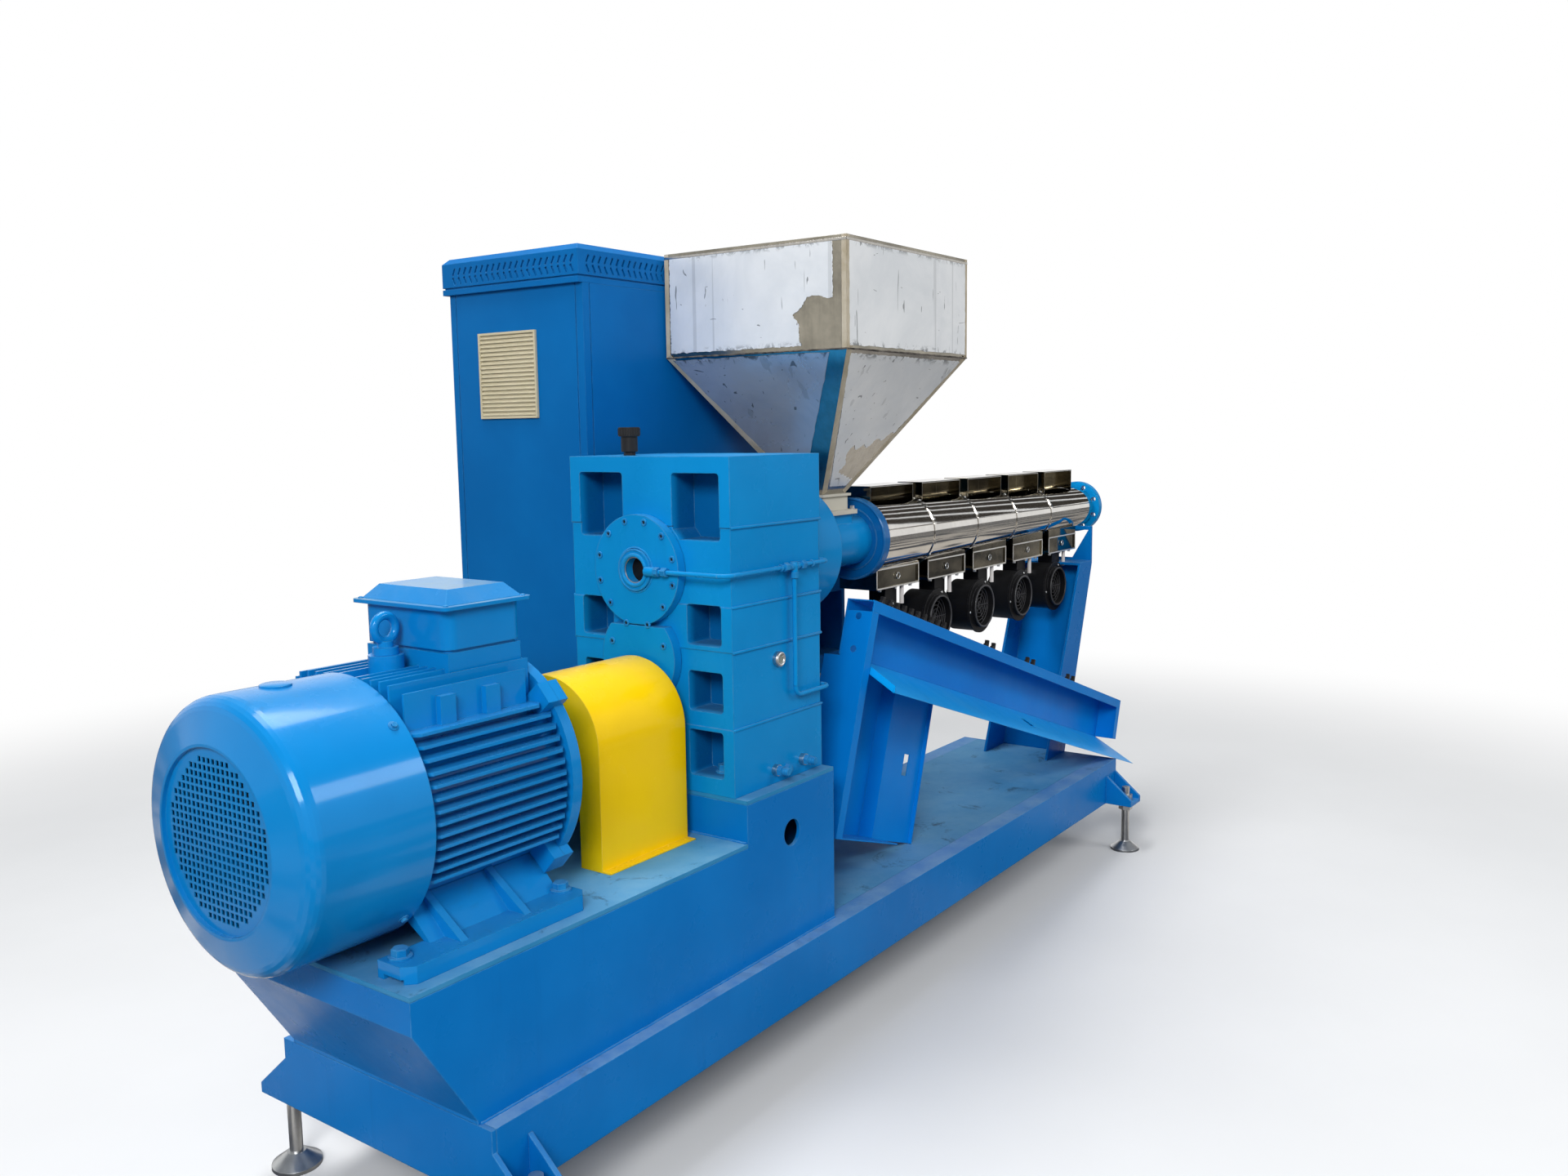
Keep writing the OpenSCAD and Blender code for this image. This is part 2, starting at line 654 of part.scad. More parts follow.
module terminal_box() color("dodgerblue") place()
  translate([box_mid, 0, pad_z]) linear_extrude(box_h) rounded(box_l, box_w, 26);
module terminal_box_lid() color("dodgerblue") place() {
  lid_z = pad_z + box_h;
  translate([box_mid, 0, lid_z]) linear_extrude(8) rounded(box_l + 2*lid_over, box_w + 2*lid_over, 14);
  hull() {
    block([box_mid - box_l/2, -box_w/2, lid_z + 8], [box_l, box_w, 1]);
    block([box_mid - box_l/2 + 26, -box_w/2 + 26, lid_z + lid_h - 1], [box_l - 52, box_w - 52, 1]);
  }
}

// Lifting eye on the stator frame.
module motor_lifting_eye() color("dodgerblue") place() translate([eye_x, 0, eye_z]) {
  cylinder(r = 26, h = 16, $fn = 48);
  translate([0, 0, 16]) cylinder(r = 16, h = 12, $fn = 48);
  translate([0, 0, 54]) rotate([90, 0, 0]) rotate_extrude($fn = 48) translate([26, 0]) circle(r = 9, $fn = 24);
}

// Coupling: two hubs with pins on the motor's and the gearbox's shafts.
coupling_x = gear_x - 115 - coupling_half;
module coupling() color("dimgray") place() {
  shaft_x = frame_end + shield_t + shield_boss;
  along_x(shaft_x, 0, shaft_z, motor_shaft_d/2, gear_x - shaft_x, 48);
  along_x(coupling_x - coupling_half - 3, 0, shaft_z, coupling_d/2, coupling_half, 64);
  along_x(coupling_x, 0, shaft_z, coupling_d/2, coupling_half, 64);
}

// Coupling guard: a bent sheet arch on two feet.
module coupling_guard() color("gold") place() difference() {
  union() {
    along_x(guard_x, 0, shaft_z + 8, guard_r, guard_l, 96);
    block([guard_x, -guard_r, motor_top], [guard_l, 2*guard_r, shaft_h + 8]);
    block([guard_x, -guard_r - guard_foot, motor_top], [guard_l, 2*(guard_r + guard_foot), guard_t]);
  }
  along_x(guard_x + guard_t, 0, shaft_z + 8, guard_r - guard_t, guard_l, 96);
  block([guard_x + guard_t, guard_t - guard_r, motor_top - 1], [guard_l, 2*(guard_r - guard_t), shaft_h + 9]);
  along_x(guard_x - 1, 0, shaft_z + 8, guard_r - guard_rim, guard_l, 96);
  block([guard_x - 1, guard_rim - guard_r, motor_top - 1], [guard_l, 2*(guard_r - guard_rim), shaft_h + 9]);
}

// Gearbox: a cast housing with pocketed ends and stepped joint bands.
gear_y = -gear_offset - gear_w/2;
joint_step = 6;
module pockets() {
  near_in = gear_y + 34;
  far_in = gear_y + gear_w - 34;
  rows = [[640, 805], [378, 480], [210, 312], [44, 162]];
  for (r = rows, s = [-1, 1]) {
    w = r[0] > 600 ? 150 : 108;
    translate([0, s > 0 ? far_in - w/2 : near_in + w/2, gear_top + (r[0] + r[1])/2]) rotate([90, 0, 90])
      linear_extrude(pocket_d) rounded(w, r[1] - r[0], 9);
  }
}
module gearbox_housing() color("dodgerblue") place() difference() {
  union() {
    block([gear_x + joint_step, gear_y + joint_step, gear_top], [gear_l - 2*joint_step, gear_w - 2*joint_step, gear_h]);
    for (band = [[0, 172], [366, 112], [673, 173]])
      block([gear_x, gear_y, gear_top + band[0]], [gear_l, gear_w, band[1]]);
    block([gear_x + 2, gear_y + 2, gear_top + 172], [gear_l - 4, gear_w - 4, 500]);
  }
  difference() {
    union() {
      translate([gear_x - 1, 0, 0]) pockets();
      translate([gear_end + 1 - pocket_d, 0, 0]) pockets();
    }
    along_x(gear_x - 2, 0, screw_z, upper_r + 4, gear_l + 4, 96);
    along_x(gear_x - 2, 0, screw_z - middle_drop, middle_r + 4, gear_l + 4, 96);
  }
}

// A round bearing cover on the gearbox's end, cut flat at the given heights.
module bearing_cover(z, r, x, t, low, high) intersection() {
  along_x(x - t, 0, z, r, t, 96);
  block([x - t - 1, -r - 1, low], [t + 2, 2*r + 2, high - low]);
}
cover_split = screw_z - upper_r + 2;
module gearbox_upper_cover() color("dodgerblue") place() difference() {
  union() {
    bearing_cover(screw_z, upper_r, gear_x, cover_t, cover_split, screw_z + upper_r + 1);
    along_x(gear_x - cover_t - hub_step, 0, screw_z, hub_r, hub_step, 64);
  }
  along_x(gear_x - cover_t - hub_step - 1, 0, screw_z, hub_bore_r, cover_t + 4, 64);
}
module gearbox_middle_cover() color("dodgerblue") place()
  bearing_cover(screw_z - middle_drop, middle_r, gear_x, cover_t, screw_z - middle_drop - middle_r - 1, cover_split - 3);
module gearbox_input_cover() color("dodgerblue") place() difference() {
  intersection() {
    along_x(gear_x - cover_t, 0, shaft_z, 96, cover_t, 96);
    block([gear_x - cover_t - 1, -100, gear_top], [cover_t + 2, 200, screw_z - middle_drop - gear_top - middle_r + 30]);
  }
  along_x(gear_x - cover_t - 1, 0, shaft_z, motor_shaft_d/2 + 0.3, cover_t + 2, 64);
  along_x(gear_x - cover_t - 1, 0, screw_z - middle_drop, middle_r + 0.3, cover_t + 2, 96);
}

module gearbox_breather() color("dimgray") place() translate([gear_x + 96, 122, gear_top + gear_h]) {
  cylinder(r = 16, h = 10, $fn = 6);
  translate([0, 0, 10]) cylinder(r = 22, h = 40, $fn = 48);
  translate([0, 0, 50]) cylinder(r = 28, h = 24, $fn = 48);
}

// Oil pipe: from the hub along the near side, with a branch down to the pump connection.
pipe_y = gear_y - pipe_r - 10;
pipe_x = gear_x + 245;
module gearbox_oil_pipe() color("dodgerblue") place() {
  front_x = gear_x - cover_t - hub_step - pipe_r;
  rear_x = gear_end + 20;
  low_z = screw_z - pipe_drop;
  block([front_x - pipe_r - 3, -hub_r - 6, screw_z - 11], [2*pipe_r + 3, 30, 22]);
  along_y(front_x, pipe_y, screw_z, pipe_r, -pipe_y - hub_r, 24);
  along_x(front_x, pipe_y, screw_z, pipe_r, rear_x - front_x, 24);
  along_y(rear_x, pipe_y, screw_z, pipe_r, -pipe_y - thrust_r - 0.3, 24);
  translate([pipe_x, pipe_y, low_z]) cylinder(r = pipe_r, h = screw_z - low_z, $fn = 24);
  along_x(pipe_x, pipe_y, low_z, pipe_r, rear_x - pipe_x, 24);
  along_y(rear_x, pipe_y, low_z, pipe_r, gear_y - pipe_y + 40, 24);
  along_x(gear_end, gear_y + 40, low_z, pipe_r, rear_x - gear_end, 24);
  for (p = [[front_x, screw_z], [rear_x, screw_z], [pipe_x, low_z], [rear_x, low_z]])
    translate([p[0], pipe_y, p[1]]) sphere(r = pipe_r, $fn = 24);
  translate([rear_x, gear_y + 40, low_z]) sphere(r = pipe_r, $fn = 24);
  along_x(pipe_x - 16, pipe_y, screw_z, pipe_r + 4, 32, 24);
  for (x = [pipe_x - 60, pipe_x + 80]) along_y(x, pipe_y, screw_z, pipe_r + 3, gear_y + 2 - pipe_y, 24);
}
module gearbox_fittings() color("silver") place() {
  along_y(gear_x + 189, gear_y - 8, gear_top + 324, 20, 8.5 + 1.5, 48);
  for (p = [[170, 36], [292, 38]]) {
    along_y(gear_x + p[0], gear_y - 14, gear_top + p[1], 15, 14, 32);
    along_y(gear_x + p[0], gear_y - 44, gear_top + p[1], 9, 30, 32);
  }
}

module thrust_housing() color("dodgerblue") place() along_x(gear_end, 0, screw_z, thrust_r, thrust_l, 96);

// Feed section: a thick tube with the throat's opening in its top.
module feed_section() color("dodgerblue") place() difference() {
  union() {
    along_x(feed_x, 0, screw_z, feed_r, feed_l, 96);
    block([throat_mid - throat_l/2 - throat_t - 12, -throat_w/2 - throat_t - 8, screw_z],
          [throat_l + 2*throat_t + 24, throat_w + 2*throat_t + 16, feed_r + 6]);
  }
  block([throat_mid - throat_l/2, -throat_w/2, screw_z], [throat_l, throat_w, feed_r + 20]);
}
module throat_frame(z, h, over) difference() {
  block([throat_mid - throat_l/2 - over, -throat_w/2 - over, z], [throat_l + 2*over, throat_w + 2*over, h]);
  block([throat_mid - throat_l/2, -throat_w/2, z - 1], [throat_l, throat_w, h + 2]);
}
module feed_throat() color("ivory") place() {
  throat_frame(screw_z + feed_r + 6, 14, throat_t + 22);
  throat_frame(screw_z + feed_r + 20, throat_h - feed_r - 20 - 8, throat_t);
  throat_frame(screw_z + throat_h - 8, 8, throat_t + 8);
}

// Hopper: a four-sided sheet funnel with a box on top, open above.
module frustum(l0, w0, l1, w1, h) hull() {
  translate([-l0/2, -w0/2, 0]) cube([l0, w0, 0.01]);
  translate([-l1/2, -w1/2, h - 0.01]) cube([l1, w1, 0.01]);
}
module hopper_cone() color("lightsteelblue") place() translate([throat_mid, 0, cone_z]) difference() {
  frustum(throat_l + 2*hopper_t, throat_w + 2*hopper_t, hopper_l, hopper_w, cone_h);
  translate([0, 0, -0.02])
    frustum(throat_l, throat_w, hopper_l - 2*hopper_t, hopper_w - 2*hopper_t, cone_h + 0.04);
}
module hopper_box() color("lightsteelblue") place() translate([throat_mid, 0, hopper_z]) difference() {
  block([-hopper_l/2, -hopper_w/2, 0], [hopper_l, hopper_w, hopper_h]);
  block([hopper_t - hopper_l/2, hopper_t - hopper_w/2, -1],
        [hopper_l - 2*hopper_t, hopper_w - 2*hopper_t, hopper_h + 2]);
}

// Barrel: conical, with a flange at its feed end.
module barrel() color("gray") place() {
  along_x(flange_x, 0, screw_z, feed_flange_r, flange_t, 96);
  turned_x(screw_z, [[barrel_x, 0], [barrel_x, barrel_r0], [barrel_end, barrel_r1], [barrel_end, 0]]);
}

// Outlet flange with a ring of bolt holes round the outlet.
module barrel_outlet_flange() color("dodgerblue") place() difference() {
  along_x(barrel_end, 0, screw_z, head_r, flange_t, 96);
  along_x(barrel_end - 1, 0, screw_z, outlet_r, flange_t + 2, 64);
  for (i = [0:head_holes - 1]) translate([0, 0, screw_z]) rotate([i*360/head_holes + 22.5, 0, 0])
    along_x(barrel_end - 1, head_pcd/2, 0, head_hole_d/2, flange_t + 2, 32);
}

// The radius of the cover, and of the barrel in it, at a distance from the barrel's flange.
function cover_r(x) = cover_r0 + (cover_r1 - cover_r0)*x/barrel_l;
function core_r(x) = barrel_r0 + (barrel_r1 - barrel_r0)*x/barrel_l;

// The tapered space that what sits on the cover is cut away from.
module cover_space() turned_x(screw_z, [[barrel_x - 10, 0], [barrel_x - 10, cover_r(-10) + fit],
                                        [barrel_end + 10, cover_r(barrel_l + 10) + fit], [barrel_end + 10, 0]]);

// Cover: a tapered sheet shell closed by a ring at each end.
module barrel_cover() color("silver") place() {
  turned_x(screw_z, [[barrel_x + 8, core_r(8) + fit], [barrel_x + 8, cover_r(8)],
                     [barrel_end - 20, cover_r(barrel_l - 20)], [barrel_end - 20, core_r(barrel_l - 20) + fit],
                     [barrel_end - 23, core_r(barrel_l - 20) + fit], [barrel_end - 23, cover_r(barrel_l - 20) - sheet_t],
                     [barrel_x + 11, cover_r(8) - sheet_t - 0.1], [barrel_x + 11, core_r(8) + fit]]);
}
module barrel_cover_bands() color("silver") place()
  for (i = [1:zones - 1]) {
    x = zone_x0 + (i - 0.5)*zone_pitch - band_w/2;
    turned_x(screw_z, [[barrel_x + x, cover_r(x) + fit], [barrel_x + x, cover_r(x) + 3],
                       [barrel_x + x + band_w, cover_r(x + band_w) + 3], [barrel_x + x + band_w, cover_r(x + band_w) + fit]]);
  }

// Upper air ducts: sheet hoods on the cover, open at the near side.
module upper_air_ducts() color("silver") place()
  for (i = [0:zones - 1]) {
    x = barrel_x + zone_x0 + i*zone_pitch - duct_l/2;
    difference() {
      block([x, -duct_w/2, screw_z + 60], [duct_l, duct_w, duct_top - 60]);
      block([x + 3, -duct_w/2 - 1, screw_z + 59], [duct_l - 6, duct_w - 2, duct_top - 62]);
      cover_space();
    }
  }
// Lower air ducts: boxes under the cover, each with a shallow recess and a round hole in its face.
module lower_air_ducts() color("gray") place()
  for (i = [0:zones - 1]) {
    x = barrel_x + zone_x0 + i*zone_pitch;
    z = screw_z - tray_drop;
    difference() {
      block([x - duct_l/2, -tray_w/2, z], [duct_l, tray_w, tray_h + 30]);
      block([x - duct_l/2 + tray_rim, -tray_w/2 - 1, z + tray_rim],
            [duct_l - 2*tray_rim, tray_recess + 1, tray_h - 2*tray_rim]);
      along_y(x, -tray_w/2, z + tray_h/2, tray_hole_r, 24, 32);
      cover_space();
    }
  }

// Blowers: drum housings with a rim and a deep inlet, hung from the lower ducts by a neck at the side.
module blower(x, z) {
  drum_r = blower_r - 6;
  difference() {
    union() {
      along_y(x, -blower_front, z, blower_r, 8);
      along_y(x, -blower_front, z, drum_r, blower_l);
      along_y(x, -blower_front - inlet_step, z, inlet_r + 8, inlet_step);
      block([x + blower_r - neck_w, -blower_front + 26, z], [neck_w, blower_l - 42, screw_z - tray_drop - z]);
    }
    along_y(x, -blower_front - inlet_step - 1, z, inlet_r, inlet_depth + inlet_step + 1);
  }
  along_y(x, -blower_front + inlet_depth - 12, z, inlet_hub_r, 13, 48);
}
module cooling_blowers() color("black") place()
  for (i = [0:zones - 1])
    blower(barrel_x + zone_x0 + i*zone_pitch + neck_w/2 - blower_r, screw_z - blower_drop);

// Barrel support: a leaning channel, open to the feed end, with a shelf and a notched cradle plate.
stand_top = screw_z - stand_drop;
head_x = base_l + stand_lean;
module barrel_support() color("dodgerblue") place() {
  under_shelf = stand_top - ped_t;
  for (y = [-stand_w/2, stand_w/2 - ped_t])
    plate_xz([[base_l - stand_foot, base_top], [base_l, base_top], [head_x, under_shelf],
              [head_x - stand_head, under_shelf]], y, ped_t);
  plate_xz([[base_l - ped_t, base_top], [base_l, base_top], [head_x, under_shelf],
            [head_x - ped_t, under_shelf]], ped_t - stand_w/2, stand_w - 2*ped_t);
  block([head_x - stand_head, -stand_w/2, under_shelf], [stand_head, stand_w, ped_t]);
  difference() {
    block([head_x - ped_t, -stand_w/2, stand_top], [ped_t, stand_w, cradle_h]);
    plate_yz([[-cradle_foot, stand_top + 10], [cradle_foot, stand_top + 10],
              [cradle_top, stand_top + cradle_h - 16], [-cradle_top, stand_top + cradle_h - 16]],
             head_x - ped_t - 1, ped_t + 2);
    cover_space();
  }
}

// Wiring duct: a right-angled frame of open sheet duct that leans on the deck and on the base's end.
corner_z = base_top + post_w*sin(frame_tilt) + post_l*cos(frame_tilt);
corner_x = frame_foot_x - post_w*cos(frame_tilt) + post_l*sin(frame_tilt);
module tilted() place() translate([corner_x, near_y + frame_inset, corner_z]) rotate([0, frame_tilt, 0]) children();
module wiring_duct_beam() color("dodgerblue") tilted() {
  block([0, -duct_t, -beam_h], [beam_l, duct_t, beam_h]);
  block([0, -duct_depth, -duct_t], [beam_l, duct_depth - duct_t, duct_t]);
  block([0, -duct_depth, -duct_edge], [beam_l, duct_t, duct_edge - duct_t]);
  block([beam_l - duct_t, -duct_depth, -beam_h], [duct_t, duct_depth - duct_t, beam_h - duct_t]);
  block([beam_l - duct_edge, -duct_depth, -beam_h], [duct_edge - duct_t, duct_t, beam_h - duct_edge]);
}
skirt_drop = cos(frame_tilt)*(corner_z - base_top) - sin(frame_tilt)*(base_l - corner_x) - beam_h;
// The skirt slopes outwards from the beam's foot. Its end at the post is turned up, and it has a window.
skirt_x = duct_edge + 6;
window_x = 1180;
window_y = 110;
window_w = 46;
module wiring_duct_skirt() color("dodgerblue") tilted() difference() {
  tip = -beam_h - skirt_drop;
  union() {
    plate_yz([[-duct_t, -beam_h], [0, -beam_h], [-skirt_out, tip], [-skirt_out - duct_t, tip]],
             skirt_x, beam_l - skirt_x);
    plate_yz([[-skirt_out - duct_t, tip], [-duct_depth/2, -beam_h - skirt_drop/4],
              [-duct_depth/2, -beam_h], [-skirt_out - duct_t, tip + 20]], skirt_x, duct_t);
  }
  block([window_x, -window_y, tip], [window_w, window_w, skirt_drop]);
}
// The post: a turned edge and a deep tray at its outer side, a web with a slot at its inner side.
post_top = -beam_h - 4;
slot_x = 478;
slot_z = -478;
hole_z = [-50, -147];
module wiring_duct_post() color("dodgerblue") tilted() difference() {
  post_h = post_l + post_top;
  union() {
    block([0, -duct_depth, -post_l], [duct_t, duct_depth - duct_t, post_l - duct_edge]);
    block([0, -duct_depth, -post_l], [duct_edge, duct_t, post_l - duct_edge]);
    block([0, -duct_depth, -post_l], [tray_l, duct_depth + tray_back, duct_t]);
    block([0, -duct_depth, -post_l], [duct_t, duct_depth + tray_back, post_h]);
    block([0, tray_back - duct_t, -post_l], [tray_l, duct_t, post_h]);
    block([0, -duct_t, post_top - duct_t], [tray_l, tray_back + duct_t, duct_t]);
    block([tray_l - duct_t, -duct_t, -post_l], [duct_t, tray_back + duct_t, post_h]);
    block([tray_l - duct_t, -duct_t, -post_l], [post_w - tray_l + duct_t, duct_t, post_h]);
    block([post_w - duct_t, -duct_edge/2, -post_l], [duct_t, duct_edge/2, post_h - duct_edge]);
  }
  block([slot_x, -duct_t - 1, slot_z], [34, duct_t + 2, 68]);
  for (z = hole_z) along_x(-1, -duct_depth/2, z, 10, duct_t + 2, 32);
}

// Control cabinet on a plinth, with a cap that overhangs. Upright seams part its corner posts and panels.
cab_seam = 26;
seam_w = 3;
module cabinet_plinth() color("dimgray") place()
  block([cab_x + 10, cab_y, 0], [cab_l - 20, cab_w - 10, plinth_h]);
module cabinet_body() color("dodgerblue") place() difference() {
  block([cab_x, cab_y, plinth_h], [cab_l, cab_w, cab_h - cap_h - plinth_h]);
  block([cab_x + cab_l - entry_l - 20, cab_y - 1, entry_z], [entry_l, 160, entry_h]);
  block([cab_x + cab_seam, cab_y - 1, plinth_h - 1], [seam_w, seam_w + 1, cab_h]);
  for (y = [cab_y + cab_seam, cab_y + cab_w - cab_seam])
    block([cab_x - 1, y, plinth_h - 1], [seam_w + 1, seam_w, cab_h]);
}
// The cap: a lower rim, a groove, and above it a hood with two rows of slanting vent slots.
cap_rim = 16;
cap_groove = 5;
slot_l = 22;
slot_w = 7;
module cap_layer(inset, z, h)
  block([cab_x - cap_over + inset, cab_y + inset, z], [cab_l + 2*(cap_over - inset), cab_w + cap_over - 2*inset, h]);
module cap_slot(row) rotate([0, (row - 0.5)*56, 0]) cube([slot_w, 12, slot_l], center = true);
module cabinet_cap() color("dodgerblue") place() difference() {
  low = cab_h - cap_h;
  slope = 16;
  union() {
    cap_layer(0, low, cap_rim);
    cap_layer(cap_groove, low + cap_rim, cap_groove);
    cap_layer(0, low + cap_rim + cap_groove, cap_h - cap_rim - cap_groove - slope);
    hull() {
      cap_layer(0, cab_h - slope - 1, 1);
      cap_layer(slope, cab_h - 1, 1);
    }
  }
  for (row = [0, 1]) {
    z = low + cap_rim + cap_groove + 18 + row*26;
    for (i = [1:floor(cab_l/slot_pitch) - 1]) translate([cab_x + i*slot_pitch, cab_y, z]) cap_slot(row);
    for (i = [1:floor(cab_w/slot_pitch) - 1])
      translate([cab_x - cap_over, cab_y + i*slot_pitch, z]) rotate([0, 0, -90]) cap_slot(row);
  }
}

// An air filter in the X-Z plane, its face towards -Y: a frame with slats that slope outwards.
module air_filter(w, h, count) {
  pitch = (h - 2*filter_edge)/count;
  for (x = [0, w - filter_edge]) block([x, -filter_t, 0], [filter_edge, filter_t, h]);
  for (z = [0, h - filter_edge]) block([0, -filter_t, z], [w, filter_t, filter_edge]);
  block([0, -2, 0], [w, 2, h]);
  for (i = [0:count - 1]) translate([filter_edge, 0, filter_edge + i*pitch])
    rotate([90, 0, 90]) linear_extrude(w - 2*filter_edge)
      polygon([[-1, 0.1*pitch], [1 - filter_t, 0.1*pitch], [1 - filter_t, 0.35*pitch], [-1, 0.95*pitch]]);
}
module cabinet_filters() color("tan") place() {
  translate([cab_x, cab_y + filter_y + filter_w - 10, cab_h - filter_drop]) rotate([0, 0, -90])
    air_filter(filter_w - 10, filter_w, slats);
  for (z = [vent_z, vent_z + vent_pitch]) translate([cab_x + cab_l - entry_l - 10, cab_y, z])
    air_filter(vent_w, vent_h, floor(slats*vent_h/filter_w));
}

base_rail_near();
base_rail_far();
base_motor_end();
base_outlet_end();
base_cross_members();
base_deck();
levelling_feet();
pedestal_frame();
pedestal_decks();
motor_feet();
motor_frame();
motor_end_shield();
motor_fan_cowl();
motor_fan();
terminal_box();
terminal_box_lid();
motor_lifting_eye();
coupling();
coupling_guard();
gearbox_housing();
gearbox_upper_cover();
gearbox_middle_cover();
gearbox_input_cover();
gearbox_breather();
gearbox_oil_pipe();
gearbox_fittings();
thrust_housing();
feed_section();
feed_throat();
hopper_cone();
hopper_box();
barrel();
barrel_cover();
barrel_cover_bands();
barrel_outlet_flange();
upper_air_ducts();
lower_air_ducts();
cooling_blowers();
barrel_support();
wiring_duct_beam();
wiring_duct_skirt();
wiring_duct_post();
cabinet_plinth();
cabinet_body();
cabinet_cap();
cabinet_filters();
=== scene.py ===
import math
import bpy
from mathutils import Matrix, Vector


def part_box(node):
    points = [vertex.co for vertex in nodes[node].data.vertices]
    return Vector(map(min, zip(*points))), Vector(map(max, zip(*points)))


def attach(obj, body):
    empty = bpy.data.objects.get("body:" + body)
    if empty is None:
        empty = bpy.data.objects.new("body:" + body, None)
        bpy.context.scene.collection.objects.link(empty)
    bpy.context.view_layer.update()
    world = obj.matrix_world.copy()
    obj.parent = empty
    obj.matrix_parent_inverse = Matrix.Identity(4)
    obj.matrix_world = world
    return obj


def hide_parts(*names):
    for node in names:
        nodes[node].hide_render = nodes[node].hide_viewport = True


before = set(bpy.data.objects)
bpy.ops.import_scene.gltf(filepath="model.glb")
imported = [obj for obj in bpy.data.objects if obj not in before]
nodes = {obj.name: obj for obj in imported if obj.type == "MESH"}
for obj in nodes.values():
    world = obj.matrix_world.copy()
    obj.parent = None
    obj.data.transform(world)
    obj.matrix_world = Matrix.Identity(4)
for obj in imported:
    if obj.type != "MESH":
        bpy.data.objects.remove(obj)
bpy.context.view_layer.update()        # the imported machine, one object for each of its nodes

print("machine loaded:", len(nodes), "nodes")

forward, back = Vector((1, 0, 0)), Vector((-1, 0, 0))
nearer, up, down = Vector((0, -1, 0)), Vector((0, 0, 1)), Vector((0, 0, -1))
origin = Vector((0, 0, 0))


# turns a piece's own X, Y and Z onto three directions
def turnedTo(x, y, z):
    return Matrix((x, y, z)).transposed().to_4x4()


# camera, solved from the photo's own straight lines
cameraFit = {
    "place": (-3.232, -2.3475, 1.680),
    "yaw": 35.43,    # degrees from +X towards +Y
    "pitch": 7.14,    # degrees down
    "roll": 0.756,
    "focal": 1542.5,    # in pixels of an image 1920 wide
    "imageWide": 1920,
    "sensor": 36,
    "clipEnd": 200,
}


def setCamera(fit):
    yaw, pitch, roll = (math.radians(fit[word]) for word in ("yaw", "pitch", "roll"))
    ahead = Vector((math.cos(yaw) * math.cos(pitch), math.sin(yaw) * math.cos(pitch), -math.sin(pitch)))
    level = Vector((math.sin(yaw), -math.cos(yaw), 0))
    over = level.cross(ahead)
    right = level * math.cos(roll) - over * math.sin(roll)
    above = level * math.sin(roll) + over * math.cos(roll)
    bpy.ops.object.camera_add()
    camera = bpy.context.object
    camera.name = "photoCamera"
    camera.matrix_world = Matrix.Translation(fit["place"]) @ turnedTo(right, above, -ahead)
    camera.data.sensor_width = fit["sensor"]
    camera.data.lens = fit["focal"] * fit["sensor"] / fit["imageWide"]
    camera.data.clip_end = fit["clipEnd"]
    bpy.context.scene.camera = camera


setCamera(cameraFit)


# small helpers for material nodes; a socket takes a number, a colour or another node's output

def feed(tree, socket, value):
    if isinstance(value, bpy.types.NodeSocket):
        tree.links.new(value, socket)
    elif socket.type == "RGBA":
        socket.default_value = (*value, 1)
    else:
        socket.default_value = value


def addNode(tree, kind, inputs=None, **settings):
    node = tree.nodes.new(kind)
    for key, value in settings.items():
        setattr(node, key, value)
    for key, value in (inputs or {}).items():
        feed(tree, node.inputs[key], value)
    return node


def mathNode(tree, operation, first, second=0.5, clamp=False):
    node = addNode(tree, "ShaderNodeMath", {0: first, 1: second}, operation=operation, use_clamp=clamp)
    return node.outputs[0]


def times(tree, first, second):
    return mathNode(tree, "MULTIPLY", first, second)


def noiseNode(tree, where, scale, detail=3, rough=0.55, distortion=0):
    inputs = {"Vector": where, "Scale": scale, "Detail": detail, "Roughness": rough, "Distortion": distortion}
    return addNode(tree, "ShaderNodeTexNoise", inputs).outputs["Fac"]


def rampNode(tree, value, low, high, start=0.0, end=1.0):
    inputs = {"Value": value, "From Min": low, "From Max": high, "To Min": start, "To Max": end}
    return addNode(tree, "ShaderNodeMapRange", inputs, interpolation_type="SMOOTHSTEP").outputs["Result"]


# soft patches: noise (scale, detail, rough, distortion) through a ramp (low, high, start, end)
def patches(tree, where, noise, ramp):
    return rampNode(tree, noiseNode(tree, where, *noise), *ramp)


def mixColors(tree, amount, first, second):
    return addNode(tree, "ShaderNodeMix", {0: amount, 6: first, 7: second}, data_type="RGBA").outputs[2]


def objectCoordinates(tree, stretch=(1, 1, 1)):
    own = addNode(tree, "ShaderNodeTexCoord").outputs["Object"]
    return addNode(tree, "ShaderNodeMapping", {"Vector": own, "Scale": stretch}).outputs["Vector"]


def axesOf(tree, vector):
    return addNode(tree, "ShaderNodeSeparateXYZ", {0: vector}).outputs


def newMaterial(name, values):
    material = bpy.data.materials.new(name)
    material.use_nodes = True
    tree = material.node_tree
    shader = tree.nodes["Principled BSDF"]
    for key, value in values.items():
        feed(tree, shader.inputs[key], value)
    return material, tree, shader


def roundedNormal(tree, radius):
    return addNode(tree, "ShaderNodeBevel", {"Radius": radius}, samples=3).outputs["Normal"]


def bumpFrom(tree, shader, height, strength, distance, normal=None):
    bump = addNode(tree, "ShaderNodeBump", {"Strength": strength, "Distance": distance, "Height": height})
    if normal is not None:
        feed(tree, bump.inputs["Normal"], normal)
    feed(tree, shader.inputs["Normal"], bump.outputs["Normal"])


